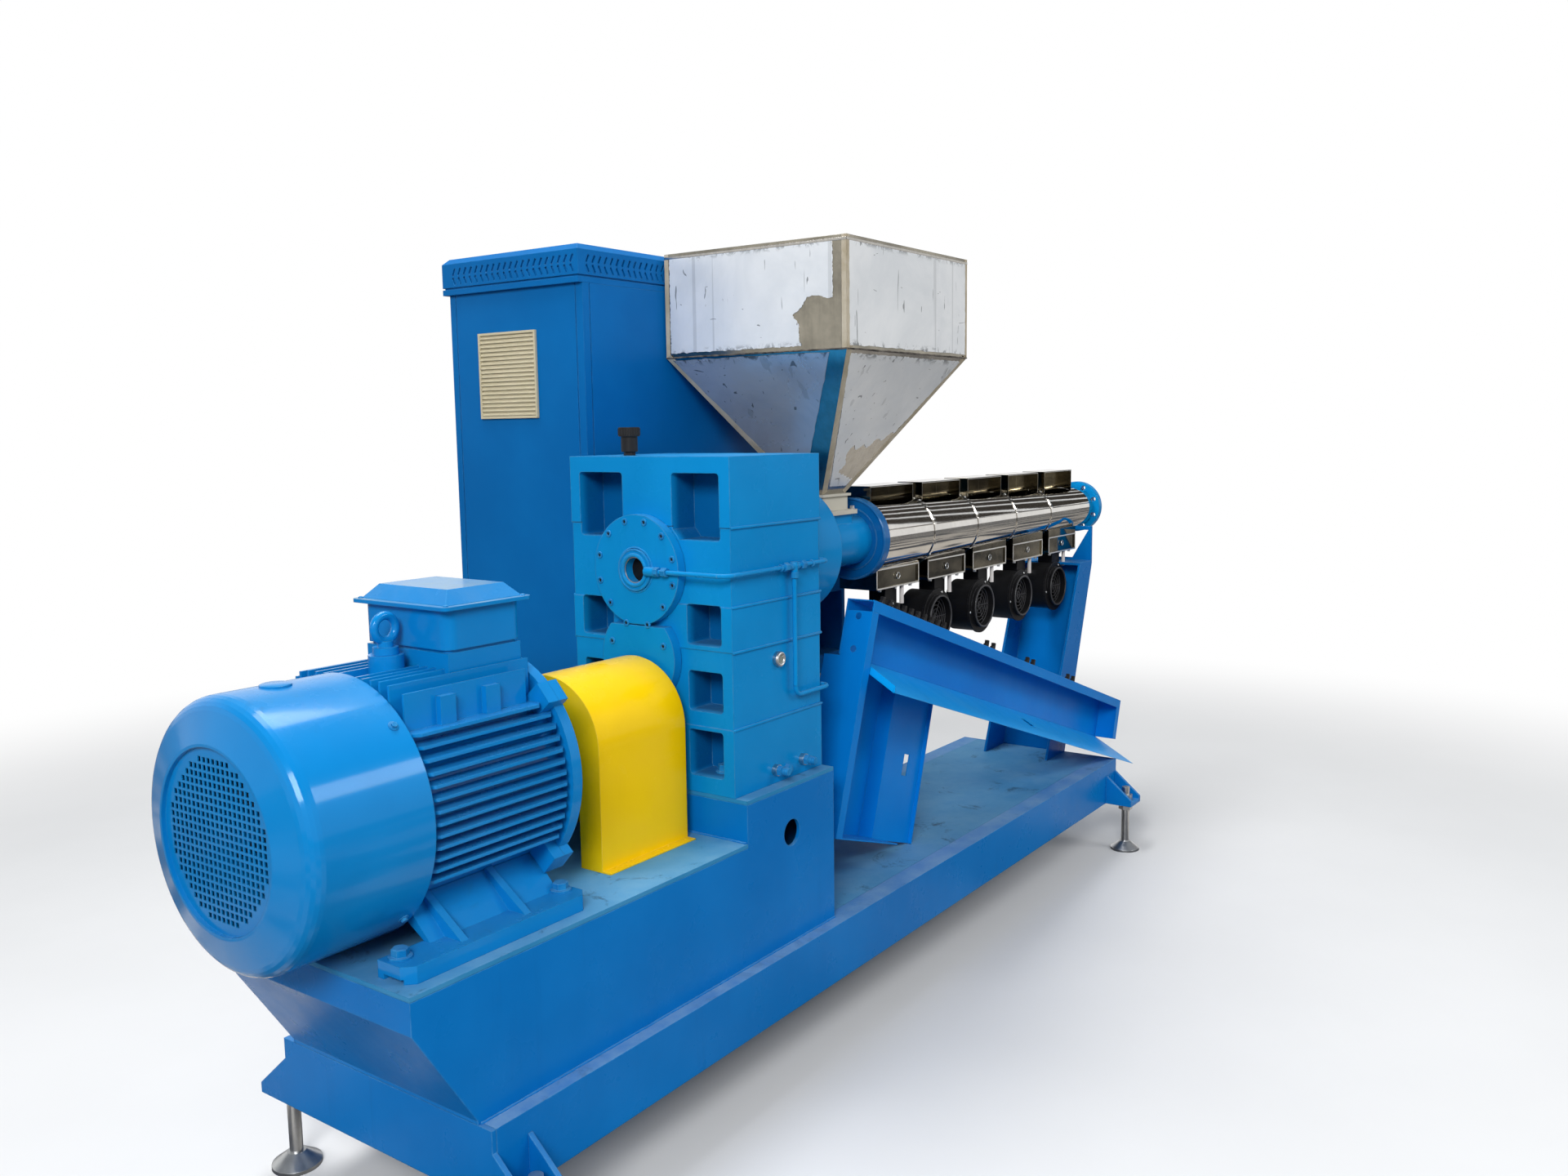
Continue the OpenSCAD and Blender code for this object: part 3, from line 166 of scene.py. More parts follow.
# 1 on the walls of pockets sunk into a box from its motor side, 0 on the box's own faces
def pocketMask(tree, where, node, skin=0.002, soft=0.008):
    low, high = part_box(node)
    x, y, z = axesOf(tree, where)
    side = mathNode(tree, "ABSOLUTE", mathNode(tree, "SUBTRACT", y, (low.y + high.y) / 2))
    mask = rampNode(tree, x, low.x + skin, low.x + skin + 4 * soft)
    for value, edge in ((side, (high.y - low.y) / 2), (z, high.z), (x, high.x)):
        mask = times(tree, mask, rampNode(tree, value, edge - soft, edge - skin, 1, 0))
    return mask


# machine enamel: two near tones and a deep one, dust and stains on what faces up, edges lightened as wear and
# as painted highlight, painted shade on pocket walls, orange peel
enamelLook = {
    "specular": 0.14, "tint": (1, 1, 1), "coat": 0.0, "coatRough": 0.10, "roughSpread": 0.10,
    "cloud": 1.7,    # noise scale of the two near tones
    "streaks": 0.16, "streakStretch": (26, 26, 1.6),
    "dust": 0.4, "dustColor": (0.20, 0.33, 0.43), "dustRough": 0.45,
    "stains": 0.25, "stainColor": (0.02, 0.05, 0.08),
    # how far edges lighten toward edgeColor: partly paint wear, partly a painted highlight along the edges
    "edge": 0.003, "wear": 0.35, "edgeColor": (0.10, 0.38, 0.76),
    "peel": 90, "peelDepth": 0.4, "bump": 0.05, "bumpDepth": 0.004,
    "pocketsOf": None, "pocketShade": 0.78, "sand": 1.6,
}


def enamel(name, changes):
    look = {**enamelLook, **changes}
    tone, second, deep = look["tones"]
    material, tree, shader = newMaterial(name, {
        "Specular IOR Level": look["specular"], "Specular Tint": look["tint"],
        "Coat Weight": look["coat"], "Coat Roughness": look["coatRough"]})
    where = objectCoordinates(tree)
    broad = noiseNode(tree, where, look["cloud"], 4, 0.6)
    color = mixColors(tree, rampNode(tree, broad, 0.35, 0.68), tone, second)
    upright = objectCoordinates(tree, look["streakStretch"])
    streaks = patches(tree, upright, (1.0, 4, 0.65), (0.56, 0.82, 0, look["streaks"]))
    color = mixColors(tree, streaks, color, deep)
    # painted shade: the walls of the pockets are darkened toward pocketColor
    inside = pocketMask(tree, where, look["pocketsOf"]) if look["pocketsOf"] else None
    if inside is not None:
        color = mixColors(tree, times(tree, inside, look["pocketShade"]), color, look["pocketColor"])
    normal = addNode(tree, "ShaderNodeNewGeometry").outputs["Normal"]
    upward = rampNode(tree, axesOf(tree, normal)[2], 0.55, 0.97)
    dusty = times(tree, upward, patches(tree, where, (5.5, 6, 0.7), (0.30, 0.72, 0.35, 1)))
    dusty = times(tree, dusty, look["dust"])
    color = mixColors(tree, dusty, color, look["dustColor"])
    spots = patches(tree, where, (8, 6, 0.75, 0.6), (0.56, 0.70, 0, look["stains"]))
    color = mixColors(tree, times(tree, spots, upward), color, look["stainColor"])
    # edges lightened toward edgeColor in patches: partly paint worn through, partly a painted highlight along
    # the edges
    rounded = roundedNormal(tree, look["edge"])
    same = addNode(tree, "ShaderNodeVectorMath", {0: rounded, 1: normal}, operation="DOT_PRODUCT")
    wornAndHighlit = rampNode(tree, same.outputs["Value"], 0.995, 0.86, 0, look["wear"])
    wornAndHighlit = times(tree, wornAndHighlit, patches(tree, where, (13, 5, 0.7), (0.38, 0.62, 0.25, 1)))
    feed(tree, shader.inputs["Base Color"], mixColors(tree, wornAndHighlit, color, look["edgeColor"]))
    rough = patches(tree, where, (9, 4, 0.6), (0.3, 0.75, look["rough"], look["rough"] + look["roughSpread"]))
    rough = mathNode(tree, "ADD", rough, times(tree, dusty, look["dustRough"]), clamp=True)
    feed(tree, shader.inputs["Roughness"], rough)
    peel = noiseNode(tree, where, look["peel"], 2, 0.5)
    grain = mathNode(tree, "ADD", times(tree, peel, look["peelDepth"]), broad)
    if inside is not None:
        sand = times(tree, noiseNode(tree, where, 150, 3, 0.7), inside)
        grain = mathNode(tree, "ADD", grain, times(tree, sand, look["sand"]))
    bumpFrom(tree, shader, grain, look["bump"], look["bumpDepth"], rounded)
    return material


shine = (0.12, 0.58, 1.0)    # the blue paint's reflections stay blue
enamels = {
    "frameBlue": {
        "tones": ((0.001, 0.155, 0.495), (0.003, 0.185, 0.565), (0.001, 0.075, 0.29)), "rough": 0.26,
        "tint": shine, "dust": 0.55, "dustColor": (0.15, 0.32, 0.48),
        # strongly lightened frame edges: painted edge highlight, partly wear
        "edge": 0.004, "wear": 0.65, "edgeColor": (0.18, 0.50, 0.86)},
    "deckBlue": {
        "tones": ((0.020, 0.215, 0.460), (0.050, 0.265, 0.510), (0.02, 0.13, 0.32)), "rough": 0.36,
        "tint": shine, "dust": 0.62, "dustColor": (0.19, 0.39, 0.57), "stains": 0.75, "cloud": 3.5},
    "motorBlue": {
        "tones": ((0.002, 0.195, 0.530), (0.003, 0.230, 0.600), (0.002, 0.11, 0.36)), "rough": 0.16,
        "tint": shine, "dust": 0.20, "dustColor": (0.12, 0.33, 0.50), "coat": 0.32, "streaks": 0.08,
        "edgeColor": (0.05, 0.38, 0.70)},
    "castingBlue": {
        "tones": ((0.002, 0.225, 0.560), (0.004, 0.265, 0.640), (0.002, 0.12, 0.38)), "rough": 0.20,
        "tint": shine, "dust": 0.34, "dustColor": (0.12, 0.30, 0.44), "peel": 55, "bump": 0.12,
        "edge": 0.004, "wear": 0.6, "edgeColor": (0.16, 0.36, 0.52)},
    "ductBlue": {
        "tones": ((0.001, 0.190, 0.620), (0.002, 0.230, 0.700), (0.001, 0.10, 0.42)), "rough": 0.28,
        "tint": shine, "dust": 0.25, "dustColor": (0.12, 0.34, 0.54), "specular": 0.12, "streaks": 0.08,
        "edgeColor": (0.10, 0.45, 0.85)},
    "cabinetBlue": {
        "tones": ((0.001, 0.120, 0.380), (0.002, 0.145, 0.440), (0.001, 0.08, 0.28)), "rough": 0.30,
        "tint": shine, "dust": 0.30, "dustColor": (0.10, 0.26, 0.40), "peel": 160, "streaks": 0.06},
    "blueSteel": {
        "tones": ((0.004, 0.17, 0.46), (0.02, 0.24, 0.54), (0.004, 0.08, 0.26)), "rough": 0.24,
        "tint": shine, "dust": 0.3, "cloud": 30,
        "edge": 0.0012, "wear": 0.7, "edgeColor": (0.22, 0.50, 0.72)},
    "guardYellow": {
        "tones": ((0.88, 0.56, 0.001), (0.93, 0.61, 0.002), (0.70, 0.45, 0.002)), "rough": 0.20,
        "tint": (1.0, 0.86, 0.3), "dust": 0.06, "dustColor": (0.72, 0.60, 0.20), "stains": 0.0, "coat": 0.22,
        "streaks": 0.10, "wear": 0.55, "edgeColor": (0.98, 0.82, 0.16)},
    "matBlack": {
        "tones": ((0.006, 0.006, 0.007), (0.010, 0.010, 0.011), (0.003, 0.003, 0.003)), "rough": 0.36,
        "dust": 0.25, "dustColor": (0.06, 0.06, 0.06), "streaks": 0.05,
        "edge": 0.002, "wear": 0.6, "edgeColor": (0.20, 0.20, 0.21)},
    "blackPlastic": {
        "tones": ((0.018, 0.017, 0.017), (0.028, 0.026, 0.025), (0.008, 0.008, 0.008)), "rough": 0.36,
        "dust": 0.55, "dustColor": (0.13, 0.12, 0.115), "peel": 320, "edgeColor": (0.12, 0.12, 0.12)},
    "beigePlastic": {
        "tones": ((0.56, 0.50, 0.34), (0.62, 0.56, 0.40), (0.40, 0.34, 0.22)), "rough": 0.45,
        "dust": 0.15, "dustColor": (0.45, 0.42, 0.34), "edgeColor": (0.72, 0.67, 0.52)},
    "primedPlate": {
        "tones": ((0.52, 0.50, 0.43), (0.60, 0.58, 0.50), (0.36, 0.33, 0.27)), "rough": 0.5,
        "dust": 0.25, "dustColor": (0.42, 0.40, 0.35), "edgeColor": (0.70, 0.68, 0.62)},
    "sootyWeld": {
        "tones": ((0.035, 0.030, 0.026), (0.16, 0.14, 0.12), (0.01, 0.01, 0.01)), "rough": 0.5,
        "dust": 0.2, "dustColor": (0.14, 0.12, 0.10), "cloud": 40,
        "edge": 0.0005, "edgeColor": (0.2, 0.18, 0.15)},
    "oilGlass": {
        "tones": ((0.16, 0.19, 0.17), (0.24, 0.27, 0.24), (0.05, 0.06, 0.05)), "rough": 0.06,
        "dust": 0.05, "coat": 0.8, "bump": 0.03, "edge": 0.0008, "edgeColor": (0.4, 0.45, 0.42)},
    "tapeBeige": {
        "tones": ((0.40, 0.34, 0.24), (0.52, 0.46, 0.36), (0.16, 0.12, 0.08)), "rough": 0.35,
        "dust": 0.2, "streaks": 0.4, "cloud": 14, "edge": 0.0004, "edgeColor": (0.5, 0.44, 0.3)},
    "whitePlastic": {
        "tones": ((0.66, 0.62, 0.60), (0.74, 0.71, 0.69), (0.5, 0.46, 0.44)), "rough": 0.35,
        "dust": 0.2, "dustColor": (0.45, 0.43, 0.41), "edge": 0.001, "edgeColor": (0.8, 0.78, 0.76)},
    "blackSteel": {
        "tones": ((0.05, 0.05, 0.053), (0.08, 0.08, 0.085), (0.01, 0.01, 0.01)), "rough": 0.32,
        "dust": 0.3, "dustColor": (0.12, 0.12, 0.12), "edge": 0.0006, "edgeColor": (0.16, 0.16, 0.17)},
}

# paints that are another one with a few changes
repaints = {
    # the casting paint with painted shade on the walls of the housing's pockets
    "housingBlue": ("castingBlue", {"pocketsOf": "gearbox_housing", "pocketColor": (0.001, 0.075, 0.250)}),
    # the casting paint darkened as painted shade, for the barrel's flange under the hood
    "flangeBlue": ("castingBlue", {
        "tones": ((0.002, 0.105, 0.330), (0.003, 0.130, 0.390), (0.002, 0.05, 0.18)),
        "rough": 0.14, "coat": 0.3}),
    "railBlue": ("frameBlue", {"dust": 0.85, "dustColor": (0.24, 0.42, 0.62)}),
    "lidBlue": ("motorBlue", {"dust": 0.90, "dustColor": (0.25, 0.36, 0.43), "wear": 0.7}),
    # the duct paint made lighter as painted light, for the outward-folded skirt
    "skirtBlue": ("ductBlue", {"tones": ((0.002, 0.36, 0.90), (0.004, 0.40, 0.95), (0.001, 0.10, 0.42))}),
}
for name, (first, changes) in repaints.items():
    enamels[name] = {**enamels[first], **changes}


# bare metal: a base tone broken up by stains, and fine turning or rolling marks in the roughness and bump
metalLook = {
    "cloud": 6, "spread": 0.08,    # stains, and how much rougher they are
    "grain": (1, 1, 1), "grainScale": 60, "marks": 0.15, "brushed": 0.06, "markDepth": 0.3,
    "wave": 7, "bump": 0.05, "bumpDepth": 0.004, "edge": 0.0015,
}


def metal(name, changes):
    look = {**metalLook, **changes}
    tone, second, deep = look["tones"]
    material, tree, shader = newMaterial(name, {"Metallic": 1.0})
    where = objectCoordinates(tree)
    stains = noiseNode(tree, where, look["cloud"], 5, 0.65)
    color = mixColors(tree, rampNode(tree, stains, 0.32, 0.70), tone, second)
    marks = noiseNode(tree, objectCoordinates(tree, look["grain"]), look["grainScale"], 3, 0.6)
    color = mixColors(tree, rampNode(tree, marks, 0.35, 0.75, 0, look["marks"]), color, deep)
    feed(tree, shader.inputs["Base Color"], color)
    rough = rampNode(tree, stains, 0.3, 0.75, look["rough"], look["rough"] + look["spread"])
    rough = mathNode(tree, "ADD", rough, times(tree, marks, look["brushed"]), clamp=True)
    feed(tree, shader.inputs["Roughness"], rough)
    waves = noiseNode(tree, where, look["wave"], 2)
    height = mathNode(tree, "ADD", times(tree, marks, look["markDepth"]), waves)
    bumpFrom(tree, shader, height, look["bump"], look["bumpDepth"], roundedNormal(tree, look["edge"]))
    return material


metals = {
    "zincSteel": {
        "tones": ((0.50, 0.51, 0.52), (0.60, 0.61, 0.61), (0.30, 0.30, 0.30)), "rough": 0.26,
        "cloud": 22},
    "machinedSteel": {
        "tones": ((0.36, 0.36, 0.37), (0.46, 0.46, 0.46), (0.16, 0.15, 0.15)), "rough": 0.30,
        "grain": (40, 1, 1), "grainScale": 8},
    "polishedSheet": {
        "tones": ((0.62, 0.60, 0.57), (0.70, 0.68, 0.645), (0.42, 0.40, 0.37)), "rough": 0.035,
        "spread": 0.03, "brushed": 0.01, "marks": 0.08, "bump": 0.03, "wave": 4},
    "brightEdge": {
        "tones": ((0.80, 0.79, 0.76), (0.88, 0.87, 0.85), (0.60, 0.58, 0.55)), "rough": 0.34,
        "cloud": 20},
    "bareSheet": {
        "tones": ((0.42, 0.405, 0.375), (0.53, 0.51, 0.47), (0.20, 0.185, 0.16)), "rough": 0.14,
        "grain": (14, 14, 1), "grainScale": 5, "marks": 0.25, "bump": 0.04},
    "boxSheet": {
        "tones": ((0.21, 0.195, 0.16), (0.40, 0.37, 0.30), (0.12, 0.11, 0.09)), "rough": 0.16,
        "cloud": 4.5, "grain": (14, 14, 1), "grainScale": 5, "marks": 0.2, "bump": 0.04},
    "darkSheet": {
        "tones": ((0.085, 0.078, 0.066), (0.50, 0.45, 0.34), (0.13, 0.12, 0.10)), "rough": 0.045,
        "cloud": 2.6, "spread": 0.04, "brushed": 0.01, "marks": 0.12, "bump": 0.03, "wave": 5},
}


# plastic film left on the sheet: cloudy, with dark scratches, fine upright creases, and soot at its levels
filmLook = {
    "coat": 0.15, "roughSpread": 0.12, "bump": 0.10, "bumpDepth": 0.006,
    "scratches": (((5, 5, 1.1), 0.715), ((2.2, 2.2, 9.0), 0.745), ((9, 9, 0.8), 0.735)),    # stretch, limit
    "scratchEdge": 0.012, "scratched": 0.75,
    "creaseStretch": (16, 16, 0.15), "creased": 0.22, "creaseDepth": 0.4,
    "sootyLevels": [corner.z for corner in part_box("hopper_box")], "sootReach": 0.030, "soot": 0.85,
}


def film(name, changes):
    look = {**filmLook, **changes}
    tone, second, deep = look["tones"]
    material, tree, shader = newMaterial(name, {"Metallic": look["metallic"], "Coat Weight": look["coat"]})
    where = objectCoordinates(tree)
    color = mixColors(tree, patches(tree, where, (3.2, 5, 0.65, 0.6), (0.32, 0.68)), tone, second)
    for stretch, limit in look["scratches"]:
        ramp = (limit, limit + look["scratchEdge"], 0, look["scratched"])
        lines = patches(tree, objectCoordinates(tree, stretch), (9.0, 2, 0.45, 0.8), ramp)
        color = mixColors(tree, lines, color, deep)
    crease = noiseNode(tree, objectCoordinates(tree, look["creaseStretch"]), 1.6, 2, 0.4)
    color = mixColors(tree, rampNode(tree, crease, 0.66, 0.68, 0, look["creased"]), color, deep)
    height = axesOf(tree, where)[2]
    grime = patches(tree, where, (26, 5, 0.7, 0.8), (0.50, 0.60))
    for level in look["sootyLevels"]:
        away = mathNode(tree, "ABSOLUTE", mathNode(tree, "SUBTRACT", height, level))
        close = rampNode(tree, away, look["sootReach"] * 0.3, look["sootReach"], look["soot"], 0)
        color = mixColors(tree, times(tree, grime, close), color, deep)
    feed(tree, shader.inputs["Base Color"], color)
    rough = patches(tree, where, (7, 4), (0.3, 0.75, look["rough"], look["rough"] + look["roughSpread"]))
    feed(tree, shader.inputs["Roughness"], rough)
    swell = mathNode(tree, "ADD", noiseNode(tree, where, 5, 2), times(tree, crease, look["creaseDepth"]))
    bumpFrom(tree, shader, swell, look["bump"], look["bumpDepth"])
    return material


films = {
    # the same film, darker and bluer: painted shade and a painted reflection of the blue gearbox, for the
    # cone's motor and far faces
    "filmBlue": {
        "tones": ((0.38, 0.42, 0.48), (0.50, 0.54, 0.59), (0.05, 0.06, 0.07)), "rough": 0.18,
        "metallic": 0.45},
    "filmPale": {
        "tones": ((0.66, 0.69, 0.72), (0.77, 0.79, 0.81), (0.10, 0.11, 0.12)), "rough": 0.28,
        "metallic": 0.25},
}
materials = {}
for maker, looks in ((enamel, enamels), (metal, metals), (film, films)):
    for name, look in looks.items():
        materials[name] = maker(name, look)

finishes = {
    "railBlue": ["base_rail_near", "base_rail_far"],
    "frameBlue": ["base_motor_end", "base_outlet_end", "base_cross_members", "pedestal_frame",
                  "barrel_support"],
    "deckBlue": ["base_deck", "pedestal_decks"],
    "motorBlue": ["motor_feet", "motor_frame", "motor_end_shield", "motor_fan_cowl", "terminal_box",
                  "motor_lifting_eye"],
    "housingBlue": ["gearbox_housing"],
    "castingBlue": ["gearbox_upper_cover", "gearbox_middle_cover", "gearbox_input_cover", "gearbox_oil_pipe",
                    "thrust_housing", "feed_section", "barrel_outlet_flange"],
    "flangeBlue": ["barrel"],
    "lidBlue": ["terminal_box_lid"],
    "ductBlue": ["wiring_duct_beam", "wiring_duct_post"],
    "skirtBlue": ["wiring_duct_skirt"],
    "cabinetBlue": ["cabinet_body", "cabinet_cap"],
    "guardYellow": ["coupling_guard"],
    "matBlack": ["cooling_blowers", "cabinet_plinth"],
    "blackPlastic": ["motor_fan", "gearbox_breather"],
    "beigePlastic": ["cabinet_filters"],
    "primedPlate": ["feed_throat"],
    "zincSteel": ["levelling_feet", "gearbox_fittings"],
    "machinedSteel": ["coupling"],
    "polishedSheet": ["barrel_cover", "barrel_cover_bands"],
    "darkSheet": ["lower_air_ducts", "upper_air_ducts"],
    "boxSheet": ["hopper_box"],
    "bareSheet": ["hopper_cone"],
}
for finish, names in finishes.items():
    for name in names:
        node = nodes[name]
        if not node.material_slots:
            node.data.materials.append(materials[finish])
        for holder in node.material_slots:
            holder.material = materials[finish]
print("finishes given to", sum(len(names) for names in finishes.values()), "nodes")


# places, in millimetres from the motor end of the base, from the screw line sideways and from the floor
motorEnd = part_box("base_motor_end")[0].x
flangeLow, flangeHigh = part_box("barrel_outlet_flange")
screwY = (flangeLow.y + flangeHigh.y) / 2
screwZ = (flangeLow.z + flangeHigh.z) / 2 * 1000


def at(x, y, z):
    return Vector((motorEnd + x / 1000, screwY + y / 1000, z / 1000))


def mmBox(name):
    low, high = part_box(name)
    return [Vector(((p.x - motorEnd) * 1000, (p.y - screwY) * 1000, p.z * 1000)) for p in (low, high)]


# a place on a circle around a line along the machine
def around(x, z, reach, angle):
    turn = math.radians(angle)
    return at(x, math.cos(turn) * reach, z + math.sin(turn) * reach)


# modelling helpers

def applied():
    bpy.ops.object.transform_apply(location=True, rotation=True, scale=True)
    return bpy.context.object


def applyModifier(piece, kind, **settings):
    bpy.ops.object.modifier_add(type=kind)
    modifier = piece.modifiers[-1]
    for key, value in settings.items():
        setattr(modifier, key, value)
    bpy.ops.object.modifier_apply(modifier=modifier.name)


def boxPiece(low, high):
    bpy.ops.mesh.primitive_cube_add(size=1, location=(low + high) / 2, scale=high - low)
    return applied()


def turnTo(axis):
    return axis.to_track_quat("Z", "Y").to_euler()


def rodPiece(start, end, radius, sides=16, endRadius=None):
    along = end - start
    bpy.ops.mesh.primitive_cone_add(vertices=sides, radius1=radius, radius2=endRadius or radius,
                                    depth=along.length, location=(start + end) / 2, rotation=turnTo(along))
    return applied()


def ringPiece(place, axis, radius, wire, around=32, section=8):
    bpy.ops.mesh.primitive_torus_add(major_radius=radius, minor_radius=wire, major_segments=around,
                                     minor_segments=section, location=place, rotation=turnTo(axis))
    return applied()


def toMode(mode):
    bpy.ops.object.mode_set(mode=mode)


def pickAll(action="SELECT"):
    bpy.ops.mesh.select_all(action=action)


def pickFaces(piece, test):
    toMode("EDIT")
    bpy.ops.mesh.select_mode(type="FACE")
    pickAll("DESELECT")
    toMode("OBJECT")
    for face in piece.data.polygons:
        face.select = test(face.center, face.normal)
    toMode("EDIT")


# insets the face on top, and raises the inner face or sinks it with walls
def insetTop(piece, rim, move):
    top = max(face.center.z for face in piece.data.polygons)
    pickFaces(piece, lambda center, normal: normal.z > 0.9 and center.z > top - 1e-5)
    bpy.ops.mesh.inset(thickness=rim)
    if move > 0:
        bpy.ops.transform.translate(value=(0, 0, move))
    else:
        bpy.ops.mesh.extrude_region_move(TRANSFORM_OT_translate={"value": (0, 0, move)})
    toMode("OBJECT")
    return piece


def joined(pieces):
    bpy.ops.object.select_all(action="DESELECT")
    for piece in pieces:
        piece.select_set(True)
    bpy.context.view_layer.objects.active = pieces[0]
    if len(pieces) > 1:
        bpy.ops.object.join()
    return bpy.context.object


def standing(place, axis, turn=0.0):
    turned = axis.to_track_quat("Z", "Y").to_matrix().to_4x4()
    return Matrix.Translation(place) @ turned @ Matrix.Rotation(turn, 4, "Z")


def placeCopies(model, matrices):
    copies = []
    for matrix in matrices:
        piece = model.copy()
        piece.data = model.data.copy()
        piece.data.transform(matrix)
        bpy.context.collection.objects.link(piece)
        copies.append(piece)
    bpy.data.objects.remove(model)
    return joined(copies)


def finishPiece(piece, name, finish, smooth=35):
    bpy.ops.object.select_all(action="DESELECT")
    piece.select_set(True)
    bpy.context.view_layer.objects.active = piece
    piece.name = piece.data.name = name
    piece.data.materials.clear()
    piece.data.materials.append(materials[finish])
    bpy.ops.object.shade_smooth_by_angle(angle=math.radians(smooth))
    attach(piece, "root")
    return piece


# copies of one fastener on its seats, as one piece
def fasten(name, model, seats, finish="blueSteel"):
    finishPiece(placeCopies(model, seats), name, finish)


# a weld bead: a thin rod cut into short lengths and roughened
def beadAlong(start, end, fit):
    bead = rodPiece(start, end, fit["bead"] / 1000, 8)
    cuts = max(2, int((end - start).length * 1000 / fit["beadStep"]))
    pickFaces(bead, lambda center, normal: True)
    direction = (end - start).normalized()
    for cut in range(1, cuts):
        pickAll()
        bpy.ops.mesh.bisect(plane_co=start.lerp(end, cut / cuts), plane_no=direction)
    pickAll()
    seed = int(start.length * 1000) % 97
    bpy.ops.transform.vertex_random(offset=fit["jitter"], uniform=0.4, seed=seed)
    toMode("OBJECT")
    return bead


# fasteners in metres, each modelled once, standing on its seat and pointing up

def hexRod(low, high, width):
    return rodPiece(up * low, up * high, width / 2 / math.cos(math.pi / 6), 6)


def hexBolt(width, height, washer=1.25, washerHeight=0.003):
    seat = rodPiece(origin, up * washerHeight, width / 2 * washer, 24)
    insetTop(seat, width * 0.04, width * 0.02)
    head = hexRod(washerHeight, washerHeight + height, width)
    insetTop(head, width * 0.07, width * 0.05)
    return joined([seat, head])


def hexNut(width, height):
    return insetTop(hexRod(0, height, width), width * 0.08, width * 0.04)


def socketScrew(radius, height):
    head = rodPiece(up * -height, up * height, radius, 20)
    insetTop(head, radius * 0.12, radius * 0.10)
    return insetTop(head, radius * 0.36, -height * 1.2)


def domeScrew(radius):
    head = rodPiece(origin, up * (radius * 0.35), radius, 16, radius * 0.92)
    insetTop(head, radius * 0.30, radius * 0.22)
    return insetTop(head, radius * 0.22, -radius * 0.25)


# motor: foot bolts, lid screws, shield bolts, cowl screws and the cowl's plug
motorFit = {
    "footBolt": (0.030, 0.014, 1.55, 0.005), "soleHeight": 35, "holeInset": 30, "holeSpan": 228.5,
    "lidScrew": 0.006, "lidInset": 15, "lidLift": 8,
    "shieldBolt": (0.022, 0.011), "lugInset": 26, "lugReach": 250, "lugAngles": (42, 138, 222, 318),
    "cowlScrew": (0.011, 0.005, 1.9, 0.0018), "cowlInset": 26, "sunk": 0.0002,
    "cowlAngles": (45, 135, 225, 315),
    "plugRadius": 0.030, "plugAlong": 0.50, "plugLevels": (-4, 3), "plugRim": 0.0036, "plugDome": 0.0016,
}


def makeMotorFasteners(fit):
    low, high = mmBox("motor_feet")
    inset = fit["holeInset"]
    holes = [at(x, side * fit["holeSpan"], low.z + fit["soleHeight"])
             for side in (-1, 1) for x in (low.x + inset, high.x - inset)]
    fasten("motor_foot_bolts", hexBolt(*fit["footBolt"]),
           [standing(hole, up, turn) for turn, hole in enumerate(holes)])
    low, high = mmBox("terminal_box_lid")
    inset = fit["lidInset"]
    corners = [at(x, y, low.z + fit["lidLift"])
               for x in (low.x + inset, high.x - inset) for y in (low.y + inset, high.y - inset)]
    fasten("terminal_box_screws", domeScrew(fit["lidScrew"]), [standing(corner, up) for corner in corners])
    low, high = mmBox("motor_end_shield")
    shaft = (low.z + high.z) / 2
    lugs = [around(low.x + fit["lugInset"], shaft, fit["lugReach"], angle) for angle in fit["lugAngles"]]
    fasten("motor_shield_bolts", hexBolt(*fit["shieldBolt"]),
           [standing(lug, forward, turn) for turn, lug in enumerate(lugs)])
    low, high = mmBox("motor_fan_cowl")
    middle, reach = at(high.x - fit["cowlInset"], 0, shaft), (high.z - low.z) / 2 / 1000 - fit["sunk"]
    rows = []
    for angle in fit["cowlAngles"]:
        outward = Vector((0, math.cos(math.radians(angle)), math.sin(math.radians(angle))))
        rows.append(standing(middle + outward * reach, outward))
    fasten("cowl_screws", hexBolt(*fit["cowlScrew"]), rows)
    plugX = low.x + (high.x - low.x) * fit["plugAlong"]
    plug = rodPiece(*(at(plugX, 0, high.z + level) for level in fit["plugLevels"]), fit["plugRadius"], 40)
    insetTop(plug, fit["plugRim"], fit["plugDome"])
    finishPiece(plug, "cowl_plug", "motorBlue")


# gearbox covers: socket screws on two circles, rings and a bright sleeve at the hub, a black disc as painted
# shade at the bore's end, and black hexes as painted shade in the screw sockets
coverFit = {
    "circles": ((126, 0, (*range(15, 240, 30), 315, 345)),    # radius, drop below the screw line, angles
                (94, 225, [22.5 + 45 * index for index in range(8)])),
    "faceStep": 5, "screw": (0.009, 0.0022), "socket": (0.0042, 0.0009),
    "rings": ((0, 0.0385, 0.0055, 10), (5, 0.0570, 0.0025, 8), (0.5, 0.0515, 0.0026, 8)),
    "boreRadius": 0.0325, "sleeveInset": 2, "sleeveWire": 0.0014, "boreEnd": (2.2, 4),
}


